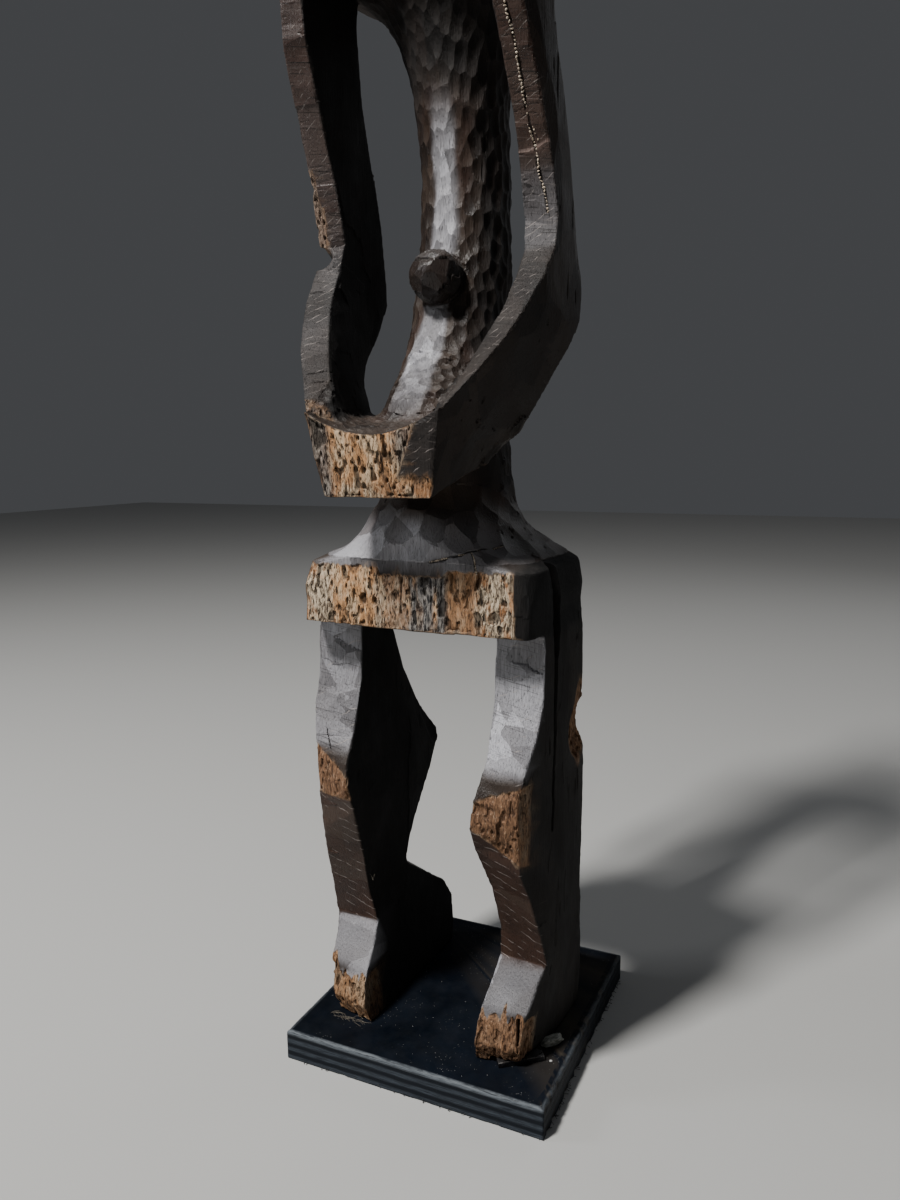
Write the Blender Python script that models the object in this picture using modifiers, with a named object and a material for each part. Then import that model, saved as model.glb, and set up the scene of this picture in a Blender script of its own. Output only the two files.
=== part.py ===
"""A tall standing figure carved from one log, on a square black board.

The figure faces -Y and its left is at +X. The board's underside is at z = 0 and the origin
is at the middle of it. The figure keeps inside a log of oval section. Legs and arms are flat
limbs between their edges, and hips, trunk, shoulders, neck and head are forms in the round.
"""

import math
import random

import bmesh
import bpy
from mathutils import Vector

# Driving sizes, in metres
BASE_WIDTH = 0.212
BASE_DEPTH = 0.212
BASE_THICKNESS = 0.024
BASE_EDGE_BEVEL = 0.0006
CONTACT_GAP = 0.0003
SHIM_THICKNESS = 0.004
FIGURE_HEIGHT = 1.000
FIGURE_TURN = math.radians(-3.0)

# The carving is given in thousandths of the figure's height, from the soles up
SHARE = FIGURE_HEIGHT / 1000.0

# The oval log: two half rounds joined by straight sides
LOG_RADIUS = 94
LOG_FRONT_CENTRE = -52
LOG_BACK_CENTRE = 4

# A cutting outline runs past a face that it must not lie in by this much
OVERRUN = 3

# Legs: edges as (height, forward or back), then how far across each of them lies, and how much
# the outer face bulges between its edges
LEG_TOP = 340
LEG_FRONT_INNER = ((0, -74), (16, -80), (34, -77), (44, -71), (56, -59), (73, -48), (96, -53),
                   (136, -65), (176, -84), (196, -93), (212, -90), (238, -73), (276, -61),
                   (LEG_TOP, -58))
LEG_FRONT_OUTER = ((0, -68), (16, -74), (44, -70), (56, -60), (73, -49), (96, -56), (136, -70),
                   (156, -78), (196, -82), (216, -83), (238, -78), (276, -63), (LEG_TOP, -59))
LEG_BACK_INNER = ((0, 67), (18, 72), (41, 73), (60, 62), (71, 46), (99, 6), (107, 4), (120, 8),
                  (175, 37), (194, 49), (203, 49), (225, 30), (269, 3), (308, -13), (LEG_TOP, -15))
LEG_BACK_OUTER = ((0, 62), (18, 68), (41, 70), (60, 60), (71, 48), (99, 26), (107, 22), (120, 22),
                  (175, 32), (194, 38), (203, 38), (225, 30), (269, 22), (308, 20), (LEG_TOP, 22))
LEG_INNER = ((0, 46), (44, 50), (73, 54), (100, 57), (136, 55), (176, 50), (196, 50), (236, 55),
             (LEG_TOP, 56))
LEG_REACH_FRONT = ((0, 79), (16, 81), (60, 88), (76, 93), (96, 91), (136, 87), (156, 83.5),
                   (216, 84), (236, 87.5), (256, 92), (276, 94), (310, 94), (LEG_TOP, 91))
LEG_REACH_BACK = ((0, 86), (60, 89), (90, 93), (300, 94), (LEG_TOP, 89))
LEG_BULGE = ((0, 6), (300, 6), (LEG_TOP, 0))
KNEE_HEIGHT = 204
KNEE_REACH = 96
KNEE_LIFT_RIGHT = 6
KNEE_LIFT_LEFT = -5

# Hips, trunk, shoulders and neck: height, half width, front, back, squareness of the section.
# Behind its widest place a section is at most this deep and no squarer than this
BACK_DEPTH = 54
BACK_SQUARENESS = 2.0
HIP_STATIONS = ((323, 92.5, -84, 60, 22.0), (350, 93, -84, 63, 22.0),
                (367, 91, -83, 62, 12.0), (377, 77, -82, 51, 3.6), (386, 66, -81, 40, 2.7),
                (396, 57.5, -79, 32, 2.3), (406, 52.5, -77, 27, 2.1), (416, 49, -70, 25, 2.0),
                (427, 46.5, -68, 25, 2.0))
TRUNK_STATIONS = ((446, 44, -68, 27, 2.0), (466, 42, -79, 31, 2.0), (481, 41, -80, 34, 2.0),
                  (490, 40, -71, 36, 2.0), (502, 38, -59, 38, 2.0), (516, 37, -49, 40, 2.0),
                  (536, 35, -40, 42, 2.0), (556, 34, -34, 42, 2.0), (576, 34, -28.5, 42, 2.0),
                  (598, 33, -24, 42.5, 2.0), (636, 32, -21.5, 42.5, 2.0), (658, 32, -24, 41, 2.0),
                  (678, 32.5, -28, 39, 2.0), (700, 34.5, -32, 39, 2.0), (720, 38.5, -36, 39, 2.0),
                  (737, 45, -42, 40, 2.0), (749, 53, -48, 41, 2.1), (757, 62, -54, 42, 2.1),
                  (764, 75, -60, 43, 2.2), (772, 88, -66, 44, 2.3))
SHOULDER_STATIONS = ((788, 93, -72, 46, 2.4), (808, 91, -71, 46, 2.4), (825, 82, -62, 43, 2.4),
                     (837, 65, -50, 39, 2.2), (846, 48, -40, 35, 2.0), (855, 38, -34, 31, 2.0))
NECK_STATIONS = ((868, 33, -32, 28, 2.0), (884, 31, -32, 25, 2.0), (900, 31, -34, 24, 2.0),
                 (914, 29, -36, 22, 2.0))
RING_SIDES = 26
RING_SPACING = 13
TOOL_MARK_DEPTH = 0.55
TOOL_MARK_SEED = 11

# Arms: edges as (height, forward or back), how far across they lie, and the outer face's bulge.
# The rim near the hands slants back by as much as RIM_SLANT says towards the inside
ARM_FRONT = ((446, -125), (460, -129), (476, -125), (496, -109), (536, -80), (576, -51),
             (596, -46), (636, -57), (676, -74), (716, -92), (748, -98), (776, -99), (804, -88),
             (824, -64), (836, -30))
RIM_SLANT = ((446, 15), (476, 15), (576, 0), (836, 0))
ARM_BACK_INNER = ((446, -42), (460, -34), (479, -31), (498, -30), (511, -25), (541, -2),
                  (559, 8), (574, 7), (614, 1), (663, -13), (694, -22), (744, -28), (790, -20),
                  (836, -8))
ARM_BACK_OUTER = ((446, -44), (460, -38), (496, -28), (532, 0), (558, 4), (582, -5), (642, -18),
                  (693, -37), (721, -46), (790, -36), (836, -10))
ARM_REACH_FRONT = ((446, 42), (460, 47), (476, 53), (496, 66), (516, 78), (536, 86), (556, 92),
                   (576, 95), (596, 95), (636, 92), (676, 88), (716, 86), (790, 86), (812, 82),
                   (827, 74), (836, 62))
ARM_REACH_BACK = ((446, 50), (460, 65), (476, 74), (496, 84), (516, 90), (536, 93), (556, 93),
                  (642, 90), (790, 90), (812, 87), (827, 78), (836, 66))
ARM_INNER_FRONT = ((446, 27), (460, 31), (476, 38), (496, 50), (516, 59), (536, 66.5), (556, 71),
                   (576, 72), (596, 70), (656, 70), (716, 66.5), (790, 62), (836, 44))
ARM_INNER_BACK = ((446, 44), (460, 54), (479, 61), (496, 66), (516, 68), (790, 66), (836, 46))
ARM_BULGE = ((446, 0), (500, 1), (530, 4), (560, 6), (836, 6))
PLANK_STEP = 16

# The joined hands, from the front face back to the waist. Each row holds how far forward its
# top and bottom are, the height of the rim at the middle and at the corner, the corner's
# distance across, and the lower edge's height and distance across
HANDS_ROWS = ((-130, -123, 458, 474, 50.5, 417, 40.5), (-108, -108, 461, 475, 55, 423, 42.5),
              (-83, -83, 464, 476, 61, 430, 44), (-53, -53, 466, 477, 66, 438, 46),
              (-30, -30, 468, 477, 68, 451, 49))
HANDS_RIM_STEPS = 6
HANDS_CAP_HEIGHT = 0.2

# Navel, a round knob cut with flat facets
NAVEL_RADIUS = 19
NAVEL_PLACE = (0, -37, 567)

# Head: the same kind of stations, then crest, ears and face
HEAD_STATIONS = ((897, 22, -42, 16, 2.0), (903, 27, -52, 22, 2.1), (912, 31, -57, 29, 2.2),
                 (924, 34, -59, 35, 2.2), (938, 35.5, -57, 39, 2.2), (952, 36, -56, 41, 2.2),
                 (965, 33.5, -51, 39, 2.1), (975, 28.5, -43, 33, 2.0), (982, 21, -33, 24, 2.0),
                 (987, 11, -20, 11, 2.0))
CREST_PROFILE_CENTRE = (-4, 948)
CREST_RADII = (49, 52)
CREST_THICKNESS = 14
CREST_HALF_WIDTH = 5
CREST_TILT = math.radians(10)
CREST_STEPS = 12
CREST_START = math.radians(28)
CREST_END = math.radians(200)
EAR_PLACE = (36, 4, 936)
EAR_RADII = (7, 13, 24)
EYE_PLACE = (14, -53.5, 944)
EYE_RADII = (7, 4.5, 3)
BROW_PLACE = (12, -52, 953)
BROW_RADII = (11, 5, 3)
MOUTH_PLACE = (0, -57.5, 914)
MOUTH_RADII = (10, 4, 3)
NOSE_PROFILE = ((-50, 957), (-60, 952), (-69, 929), (-66, 925), (-50, 925))
NOSE_BRIDGE_HALF = 3.5
NOSE_WINGS_HALF = 7.5
NOSE_HEIGHTS = (925, 957)
NOSE_SPAN = (-80, -40)

# Losses: a bite out of the right arm's elbow edge and a hollow behind the left thigh
BITE_PLACE = (-93, -47, 586.6)
BITE_RADII = (12.5, 19, 8.1)
HOLLOW_PLACE = (97, 14, 239)
HOLLOW_RADII = (12, 28, 26)

# The left sole's front outer corner has rotted away, and a thin shim fills part of the space
SOLE_LOSS = ((49, -58), (66, -84), (104, -56), (86, -30))
SHIM_OUTLINE = ((55, -62), (66, -76), (93, -53), (84, -42))

# Colours and how rough each finish is
WOOD_COLOUR = (0.050, 0.034, 0.026, 1.0)
WOOD_ROUGHNESS = 0.42
BOARD_COLOUR = (0.012, 0.013, 0.016, 1.0)
BOARD_ROUGHNESS = 0.5
SHIM_COLOUR = (0.010, 0.010, 0.011, 1.0)
SHIM_ROUGHNESS = 0.35


def clear_scene():
    """Start from an empty scene."""
    for thing in list(bpy.data.objects):
        bpy.data.objects.remove(thing, do_unlink=True)


def new_collection(name):
    """A collection linked to the scene."""
    group = bpy.data.collections.new(name)
    bpy.context.scene.collection.children.link(group)
    return group


def finish(name, colour, roughness):
    """A plain Principled material with one colour and gloss."""
    material = bpy.data.materials.new(name)
    material.use_nodes = True
    shader = material.node_tree.nodes["Principled BSDF"]
    shader.inputs["Base Color"].default_value = colour
    shader.inputs["Roughness"].default_value = roughness
    shader.inputs["Metallic"].default_value = 0.0
    return material


def between(outline, height):
    """The value at a height, on straight lines between an outline's points."""
    for (low, first), (high, second) in zip(outline, outline[1:]):
        if height <= high:
            part = max(0.0, (height - low) / (high - low))
            return first + (second - first) * part
    return outline[-1][1]


def log_half_width(forward):
    """Half the log's width at a distance in front of (-) or behind (+) its middle."""
    if forward < LOG_FRONT_CENTRE:
        away = forward - LOG_FRONT_CENTRE
    elif forward > LOG_BACK_CENTRE:
        away = forward - LOG_BACK_CENTRE
    else:
        away = 0.0
    return math.sqrt(max(0.0, LOG_RADIUS ** 2 - away ** 2))


def mesh_object(name, mesh, group, parent=None):
    """An object for a mesh, in its collection and under its parent."""
    thing = bpy.data.objects.new(name, mesh)
    group.objects.link(thing)
    thing.parent = parent
    return thing


def as_cutter(thing):
    """Mark a piece that only shapes another."""
    thing.hide_render = True
    thing.display_type = "WIRE"
    return thing


def slab(name, outline, low, high, facing, group, parent):
    """A flat outline given thickness: facing is X (side view), Y (front view) or Z (plan)."""
    curve = bpy.data.curves.new(name + "_outline", "CURVE")
    curve.dimensions = "2D"
    curve.fill_mode = "BOTH"
    curve.extrude = (high - low) / 2 * SHARE
    spline = curve.splines.new("POLY")
    spline.points.add(len(outline) - 1)
    for point, (across, up) in zip(spline.points, outline):
        point.co = (across * SHARE, up * SHARE, 0.0, 1.0)
    spline.use_cyclic_u = True
    drawn = bpy.data.objects.new(name + "_drawn", curve)
    group.objects.link(drawn)
    middle = (low + high) / 2 * SHARE
    if facing == "X":
        drawn.rotation_euler = (math.pi / 2, 0.0, math.pi / 2)
        drawn.location = (middle, 0.0, 0.0)
    elif facing == "Y":
        drawn.rotation_euler = (math.pi / 2, 0.0, 0.0)
        drawn.location = (0.0, middle, 0.0)
    else:
        drawn.location = (0.0, 0.0, middle)
    bpy.context.view_layer.update()
    evaluated = drawn.evaluated_get(bpy.context.evaluated_depsgraph_get())
    mesh = bpy.data.meshes.new_from_object(evaluated)
    mesh.transform(drawn.matrix_world)
    bpy.data.objects.remove(drawn, do_unlink=True)
    welded = bmesh.new()
    welded.from_mesh(mesh)
    bmesh.ops.remove_doubles(welded, verts=welded.verts, dist=1e-6)
    bmesh.ops.recalc_face_normals(welded, faces=welded.faces)
    welded.to_mesh(mesh)
    welded.free()
    return mesh_object(name, mesh, group, parent)


def loft(name, rings, group, parent, staggered=False, cap_height=0.5):
    """A closed skin over rings of points, each ring with the same number of points.

    The first and last rings are closed with fans from their middles, or from cap_height of
    the way up where a ring is hollow above.
    """
    shape = bmesh.new()
    rows = [[shape.verts.new(Vector(point) * SHARE) for point in ring] for ring in rings]
    count = len(rows[0])
    for level, (lower, upper) in enumerate(zip(rows, rows[1:])):
        for side in range(count):
            after = (side + 1) % count
            if staggered and level % 2 == 1:
                shape.faces.new((lower[side], lower[after], upper[after]))
                shape.faces.new((lower[side], upper[after], upper[side]))
            else:
                shape.faces.new((lower[side], lower[after], upper[side]))
                shape.faces.new((lower[after], upper[after], upper[side]))
    for row in (list(reversed(rows[0])), rows[-1]):
        spans = [[corner.co[axis] for corner in row] for axis in range(3)]
        middle = [min(span) + (max(span) - min(span)) * share
                  for span, share in zip(spans, (0.5, 0.5, cap_height))]
        middle = shape.verts.new(middle)
        for side in range(count):
            shape.faces.new((row[side], row[(side + 1) % count], middle))
    if shape.calc_volume(signed=True) < 0.0:
        bmesh.ops.reverse_faces(shape, faces=shape.faces)
    mesh = bpy.data.meshes.new(name)
    shape.to_mesh(mesh)
    shape.free()
    return mesh_object(name, mesh, group, parent)


def oval_ring(height, half_width, front, back, squareness, turn, marks):
    """One level of a rounded form, with its tool marks."""
    widest = max((front + back) / 2, back - BACK_DEPTH)
    ring = []
    for side in range(RING_SIDES):
        angle = 2 * math.pi * (side + turn) / RING_SIDES
        behind = math.sin(angle) > 0
        power = 2 / (min(squareness, BACK_SQUARENESS) if behind else squareness)
        depth = back - widest if behind else widest - front
        across = math.copysign(abs(math.cos(angle)) ** power, math.cos(angle))
        along = math.copysign(abs(math.sin(angle)) ** power, math.sin(angle))
        mark = marks.uniform(-TOOL_MARK_DEPTH, TOOL_MARK_DEPTH)
        ring.append(((half_width + mark) * across, widest + (depth + mark) * along, height))
    return ring


def rounded_form(name, stations, group, parent):
    """A form carved in the round between its stations, with staggered rings of tool marks."""
    marks = random.Random(TOOL_MARK_SEED)
    columns = [[(row[0], row[item]) for row in stations] for item in range(1, 5)]
    rings = []
    for low, high in zip(stations, stations[1:]):
        steps = max(1, round((high[0] - low[0]) / RING_SPACING))
        for step in range(steps):
            height = low[0] + (high[0] - low[0]) * step / steps
            sizes = [between(column, height) for column in columns]
            rings.append(oval_ring(height, *sizes, 0.5 * (len(rings) % 2), marks))
    rings.append(oval_ring(*stations[-1], 0.5 * (len(rings) % 2), marks))
    return loft(name, rings, group, parent, staggered=True)


def ellipsoid(name, place, radii, group, parent, sides=14, rings=8):
    """A rounded lump, from a sphere primitive."""
    shape = bmesh.new()
    bmesh.ops.create_uvsphere(shape, u_segments=sides, v_segments=rings, radius=1.0)
    for corner in shape.verts:
        corner.co = Vector([(place[axis] + radii[axis] * corner.co[axis]) * SHARE for axis in range(3)])
    mesh = bpy.data.meshes.new(name)
    shape.to_mesh(mesh)
    shape.free()
    return mesh_object(name, mesh, group, parent)


def combine(target, tool, operation):
    """Join, cut or keep only what two pieces share."""
    modifier = target.modifiers.new(tool.name, "BOOLEAN")
    modifier.operation = operation
    modifier.solver = "EXACT"
    modifier.object = as_cutter(tool)


def levels(*outlines):
    """Every height that an outline turns at, and more where these are far apart."""
    turns = sorted({height for outline in outlines for height, _ in outline})
    heights = []
    for low, high in zip(turns, turns[1:]):
        steps = max(1, round((high - low) / PLANK_STEP))
        heights += [low + (high - low) * step / steps for step in range(steps)]
    return heights + [turns[-1]]


def plank_ring(height, side, outer, inner, bulge):
    """A section of a limb left standing from the log: its bulging outer face, then the inner.

    Each face holds where its front and back edges are, and how far across each edge lies.
    """
    ring = []
    for part in (0.0, 0.25, 0.5, 0.75, 1.0):
        along = outer[0] + (outer[1] - outer[0]) * part
        reach = outer[2] + (outer[3] - outer[2]) * part + bulge * 4 * part * (1 - part)
        ring.append((side * min(reach, log_half_width(along)), along, height))
    for part in (1.0, 0.5, 0.0):
        along = inner[0] + (inner[1] - inner[0]) * part
        across = inner[2] + (inner[3] - inner[2]) * part
        ring.append((side * across, along, height))
    return ring


def bent(outline, knee_lift):
    """An outline of the leg with the knee a little higher or lower."""
    moved = []
    for height, value in outline:
        nearness = max(0.0, 1.0 - abs(height - KNEE_HEIGHT) / KNEE_REACH)
        moved.append((height + knee_lift * nearness, value))
    return moved


def plank(name, side, outlines, group, parent):
    """A limb lofted through its outlines: four of the outer face, four of the inner, the bulge."""
    rings = []
    for height in levels(*outlines):
        sizes = [between(outline, height) for outline in outlines]
        rings.append(plank_ring(height, side, sizes[:4], sizes[4:8], sizes[8]))
    return loft(name, rings, group, parent)


def leg(name, side, knee_lift, group, parent):
    """One bent leg with its foot."""
    outlines = (LEG_FRONT_OUTER, LEG_BACK_OUTER, LEG_REACH_FRONT, LEG_REACH_BACK,
                LEG_FRONT_INNER, LEG_BACK_INNER, LEG_INNER, LEG_INNER, LEG_BULGE)
    return plank(name, side, [bent(outline, knee_lift) for outline in outlines], group, parent)


def arm(name, side, group, parent):
    """One arm, a bent plank whose front edge is a slanted rim near the hands."""
    inner_front = [(height, between(ARM_FRONT, height) + slant) for height, slant in RIM_SLANT]
    inner_front += [(height, forward + between(RIM_SLANT, height)) for height, forward in ARM_FRONT]
    outlines = (ARM_FRONT, ARM_BACK_OUTER, ARM_REACH_FRONT, ARM_REACH_BACK,
                sorted(set(inner_front)), ARM_BACK_INNER, ARM_INNER_FRONT, ARM_INNER_BACK,
                ARM_BULGE)
    return plank(name, side, outlines, group, parent)


def hands_ring(row):
    """A section of the joined hands: the dipped rim from left to right, then the lower edge."""
    top, bottom, middle, corner_height, corner, low, low_half = row
    ring = []
    for step in range(-HANDS_RIM_STEPS, HANDS_RIM_STEPS + 1):
        part = step / HANDS_RIM_STEPS
        ring.append((corner * part, top, middle + (corner_height - middle) * part ** 2))
    ring += [(low_half, bottom, low), (-low_half, bottom, low)]
    return ring


def hands(name, group, parent):
    """The hands joined in one block in front of the waist."""
    rings = [hands_ring(row) for row in HANDS_ROWS]
    return loft(name, rings, group, parent, cap_height=HANDS_CAP_HEIGHT)


def crest_outline():
    """The ridge over the head in side view, a band of an ellipse from brow to nape."""
    points = []
    outward = range(CREST_STEPS + 1)
    for inset, order in ((0, outward), (CREST_THICKNESS, reversed(outward))):
        for step in order:
            turn = CREST_START + (CREST_END - CREST_START) * step / CREST_STEPS - CREST_TILT
            forward = CREST_PROFILE_CENTRE[0] + (CREST_RADII[0] - inset) * math.cos(turn)
            up = CREST_PROFILE_CENTRE[1] + (CREST_RADII[1] - inset) * math.sin(turn)
            points.append((forward, up))
    return points


def nose(name, group, parent):
    """A straight nose, narrow at the bridge and wider at its wings."""
    low = NOSE_HEIGHTS[0] - OVERRUN
    high = NOSE_HEIGHTS[1] + OVERRUN
    width = NOSE_WINGS_HALF + OVERRUN
    piece = slab(name, NOSE_PROFILE, -width, width, "X", group, parent)
    front_view = ((-NOSE_WINGS_HALF, low), (NOSE_WINGS_HALF, low), (NOSE_BRIDGE_HALF, high),
                  (-NOSE_BRIDGE_HALF, high))
    front = slab(name + "_front_view", front_view, *NOSE_SPAN, "Y", group, parent)
    combine(piece, front, "INTERSECT")
    return piece


def mirrored(place):
    """The same place on the other side of the figure."""
    return (-place[0], place[1], place[2])


def head(name, group, parent):
    """A small head with crest, ears and a calm, plain face; returns its pieces."""
    pieces = [rounded_form(name, HEAD_STATIONS, group, parent)]
    pieces.append(slab("crest", crest_outline(), -CREST_HALF_WIDTH, CREST_HALF_WIDTH, "X", group,
                       parent))
    pieces.append(nose("nose", group, parent))
    pieces.append(ellipsoid("mouth", MOUTH_PLACE, MOUTH_RADII, group, parent))
    for label, place, radii in (("ear", EAR_PLACE, EAR_RADII), ("eye", EYE_PLACE, EYE_RADII),
                                ("brow", BROW_PLACE, BROW_RADII)):
        pieces.append(ellipsoid(label + "_left", place, radii, group, parent))
        pieces.append(ellipsoid(label + "_right", mirrored(place), radii, group, parent))
    return pieces


def figure(group, cutters, parent):
    """The whole carving as one solid."""
    stations = HIP_STATIONS + TRUNK_STATIONS + SHOULDER_STATIONS + NECK_STATIONS
    body = rounded_form("figure", stations, group, parent)
    pieces = [leg("leg_left", 1, KNEE_LIFT_LEFT, cutters, parent),
              leg("leg_right", -1, KNEE_LIFT_RIGHT, cutters, parent),
              hands("hands", cutters, parent),
              arm("arm_left", 1, cutters, parent),
              arm("arm_right", -1, cutters, parent),
              ellipsoid("navel", NAVEL_PLACE, (NAVEL_RADIUS,) * 3, cutters, parent, 12, 7)]
    pieces += head("head", cutters, parent)
    for piece in pieces:
        combine(body, piece, "UNION")
    losses = (ellipsoid("bite", BITE_PLACE, BITE_RADII, cutters, parent),
              ellipsoid("hollow", HOLLOW_PLACE, HOLLOW_RADII, cutters, parent),
              slab("sole_loss", SOLE_LOSS, -OVERRUN, (SHIM_THICKNESS + CONTACT_GAP) / SHARE, "Z",
                   cutters, parent))
    for loss in losses:
        combine(body, loss, "DIFFERENCE")
    body.data.materials.append(finish("carved_wood", WOOD_COLOUR, WOOD_ROUGHNESS))
    return body


def shim(group, parent):
    """The thin packing under the left foot, lying on the board."""
    top = SHIM_THICKNESS / SHARE
    piece = slab("foot_shim", SHIM_OUTLINE, 0.0, top, "Z", group, parent)
    piece.data.materials.append(finish("black_shim", SHIM_COLOUR, SHIM_ROUGHNESS))
    return piece


def base(group):
    """The square board that the figure stands on."""
    shape = bmesh.new()
    bmesh.ops.create_cube(shape, size=1.0)
    for corner in shape.verts:
        corner.co.x *= BASE_WIDTH
        corner.co.y *= BASE_DEPTH
        corner.co.z = (corner.co.z + 0.5) * BASE_THICKNESS
    mesh = bpy.data.meshes.new("base_board")
    shape.to_mesh(mesh)
    shape.free()
    board = mesh_object("base_board", mesh, group)
    bevel = board.modifiers.new("worn_edges", "BEVEL")
    bevel.width = BASE_EDGE_BEVEL
    bevel.segments = 1
    board.data.materials.append(finish("black_paint", BOARD_COLOUR, BOARD_ROUGHNESS))
    return board


def stand(group):
    """The turned place on the board's top that the carving and its shim stand at."""
    place = bpy.data.objects.new("figure_place", None)
    group.objects.link(place)
    place.location = (0.0, 0.0, BASE_THICKNESS + CONTACT_GAP)
    place.rotation_euler = (0.0, 0.0, FIGURE_TURN)
    return place


def main():
    """Build the board, the carving and the shim."""
    clear_scene()
    parts = new_collection("standing_figure")
    cutters = new_collection("cutters")
    place = stand(parts)
    base(parts)
    figure(parts, cutters, place)
    shim(parts, place)


main()
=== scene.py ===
"""The look of a tall carved figure on a black board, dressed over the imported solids.

The carving is worked in its own coordinates: millimetres from the middle of its soles, with x to
its left, y to its back and z up. The soles lie at SOLE_LIFT and the figure is turned on its board.
"""

import itertools
import math
import random

import bmesh
import bpy
import numpy as np
from mathutils import Matrix, Vector
from mathutils.kdtree import KDTree


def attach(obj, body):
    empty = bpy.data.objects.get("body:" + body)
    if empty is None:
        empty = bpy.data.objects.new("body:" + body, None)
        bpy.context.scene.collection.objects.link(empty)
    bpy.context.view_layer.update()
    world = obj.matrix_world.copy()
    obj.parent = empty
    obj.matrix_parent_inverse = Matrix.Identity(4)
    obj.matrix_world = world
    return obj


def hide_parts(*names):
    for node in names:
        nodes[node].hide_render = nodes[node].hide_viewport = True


SOLE_LIFT = 0.0243
FIGURE_TURN = math.radians(-3.0)
BOARD_TOP = 0.024
MM = 0.001

# How finely the carving is meshed, in metres, and how many triangles it keeps
CARVING_GRAIN = 0.00125
CARVING_TRIANGLES = 190000
SHORTEST_EDGE = 5e-5
RIDGE_ANGLE = math.radians(7)
# Points nearer than this are one point, in metres
SAME_POINT = 1e-6

# Levels and middles on the carving, in its own millimetres
FOOT_TOP = 74
HIP_UNDERSIDE = 322
HIP_TOP = 372
HANDS_BOTTOM = 405
SHOULDER = 805
CHIN = 893
EYE_LEVEL = 944
KNOB = np.array((0, -37, 567))
KNOB_RADIUS = 18.0
SKULL_MIDDLE = -4
SKULL_LEVEL = 948


def to_world(points):
    """Carving coordinates to the shared frame, in metres."""
    turn = Matrix.Rotation(FIGURE_TURN, 3, "Z")
    return np.asarray(points) * MM @ np.array(turn).T + np.array((0.0, 0.0, SOLE_LIFT))


def to_carving(points):
    """Places in the shared frame to carving coordinates."""
    turn = Matrix.Rotation(-FIGURE_TURN, 3, "Z")
    return (np.asarray(points) - np.array((0.0, 0.0, SOLE_LIFT))) @ np.array(turn).T / MM


# Random lumps, the same on every run


HASH_STEPS = (374761393, 668265263, 1013904223)
HASH_MIX = 1274126177
HASH_BITS = 0xFFFFFF


def lattice(cells, seed):
    """A fixed value from 0 to 1 for each whole-numbered cell."""
    mixed = (cells * np.array(HASH_STEPS, dtype=np.int64)).sum(axis=1) + seed * HASH_MIX
    mixed = (mixed ^ (mixed >> 13)) * HASH_MIX
    mixed = (mixed ^ (mixed >> 15)) * HASH_STEPS[0]
    mixed = mixed ^ (mixed >> 16)
    return (mixed & HASH_BITS) / float(HASH_BITS)


def noise(points, size, seed):
    """Smooth lumps from -1 to 1, as far apart along each axis as size says."""
    place = points / np.array(size, dtype=float)
    cell = np.floor(place).astype(np.int64)
    part = place - cell
    part = part * part * (3.0 - 2.0 * part)
    total = np.zeros(len(points))
    for corner in itertools.product((0, 1), repeat=3):
        weight = np.prod(np.where(np.array(corner) == 1, part, 1.0 - part), axis=1)
        total += weight * lattice(cell + np.array(corner), seed)
    return 2.0 * total - 1.0


def ramp(value, low, high):
    """From 0 at low to 1 at high, smoothly."""
    part = np.clip((value - low) / (high - low), 0.0, 1.0)
    return part * part * (3.0 - 2.0 * part)


def fall(value, low, high):
    """From 1 at low to 0 at high, smoothly."""
    return 1.0 - ramp(value, low, high)


def band(value, low, high, soft):
    """1 between low and high, fading out over soft."""
    return ramp(value, low - soft, low) * fall(value, high, high + soft)


def reach(points, middle, sizes):
    """How far points are from a middle, as a share of a size along each axis."""
    return np.linalg.norm((points - np.array(middle)) / np.array(sizes), axis=1)


# Mesh helpers


def read(items, key, width, kind=np.float32):
    """One property of all of a mesh's points, edges or faces: a row for each."""
    flat = np.empty(len(items) * width, dtype=kind)
    items.foreach_get(key, flat)
    return flat.reshape(-1, width)


def read_points(mesh):
    """A mesh's points as an array."""
    return read(mesh.vertices, "co", 3).astype(float)


def write_points(mesh, points):
    """Put an array of points back into a mesh."""
    mesh.vertices.foreach_set("co", np.asarray(points, dtype=np.float32).ravel())
    mesh.update()


def read_normals(mesh):
    """A mesh's point normals as an array."""
    return read(mesh.vertices, "normal", 3).astype(float)


def read_edges(mesh):
    """The two ends of every edge."""
    return read(mesh.edges, "vertices", 2, np.int32)


def keep_value(mesh, name, values):
    """Store one number per point for the materials to read."""
    layer = mesh.attributes.get(name) or mesh.attributes.new(name, "FLOAT", "POINT")
    layer.data.foreach_set("value", np.asarray(values, dtype=np.float32))


def relax(points, edges, amount, rounds):
    """Draw each point towards its neighbours' middle, by amount (0 to 1) per point."""
    edges = edges[(amount > 0)[edges].any(axis=1)]
    count = np.maximum(1, np.bincount(edges.ravel(), minlength=len(points)))[:, None]
    for _ in range(rounds):
        total = np.zeros_like(points)
        for axis in range(3):
            total[:, axis] = (np.bincount(edges[:, 0], points[edges[:, 1], axis], len(points))
                              + np.bincount(edges[:, 1], points[edges[:, 0], axis], len(points)))
        points = points + (total / count - points) * amount[:, None]
    return points


def placed(name, data):
    """A new object in the scene."""
    thing = bpy.data.objects.new(name, data)
    bpy.context.scene.collection.objects.link(thing)
    return thing


def shade_smooth(mesh):
    """Shade all of a mesh's faces as one smooth surface."""
    mesh.polygons.foreach_set("use_smooth", np.ones(len(mesh.polygons), dtype=bool))


def mesh_from(shape, name):
    """A new mesh from a worked shape; the shape itself goes."""
    mesh = bpy.data.meshes.new(name)
    shape.to_mesh(mesh)
    shape.free()
    return mesh


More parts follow.
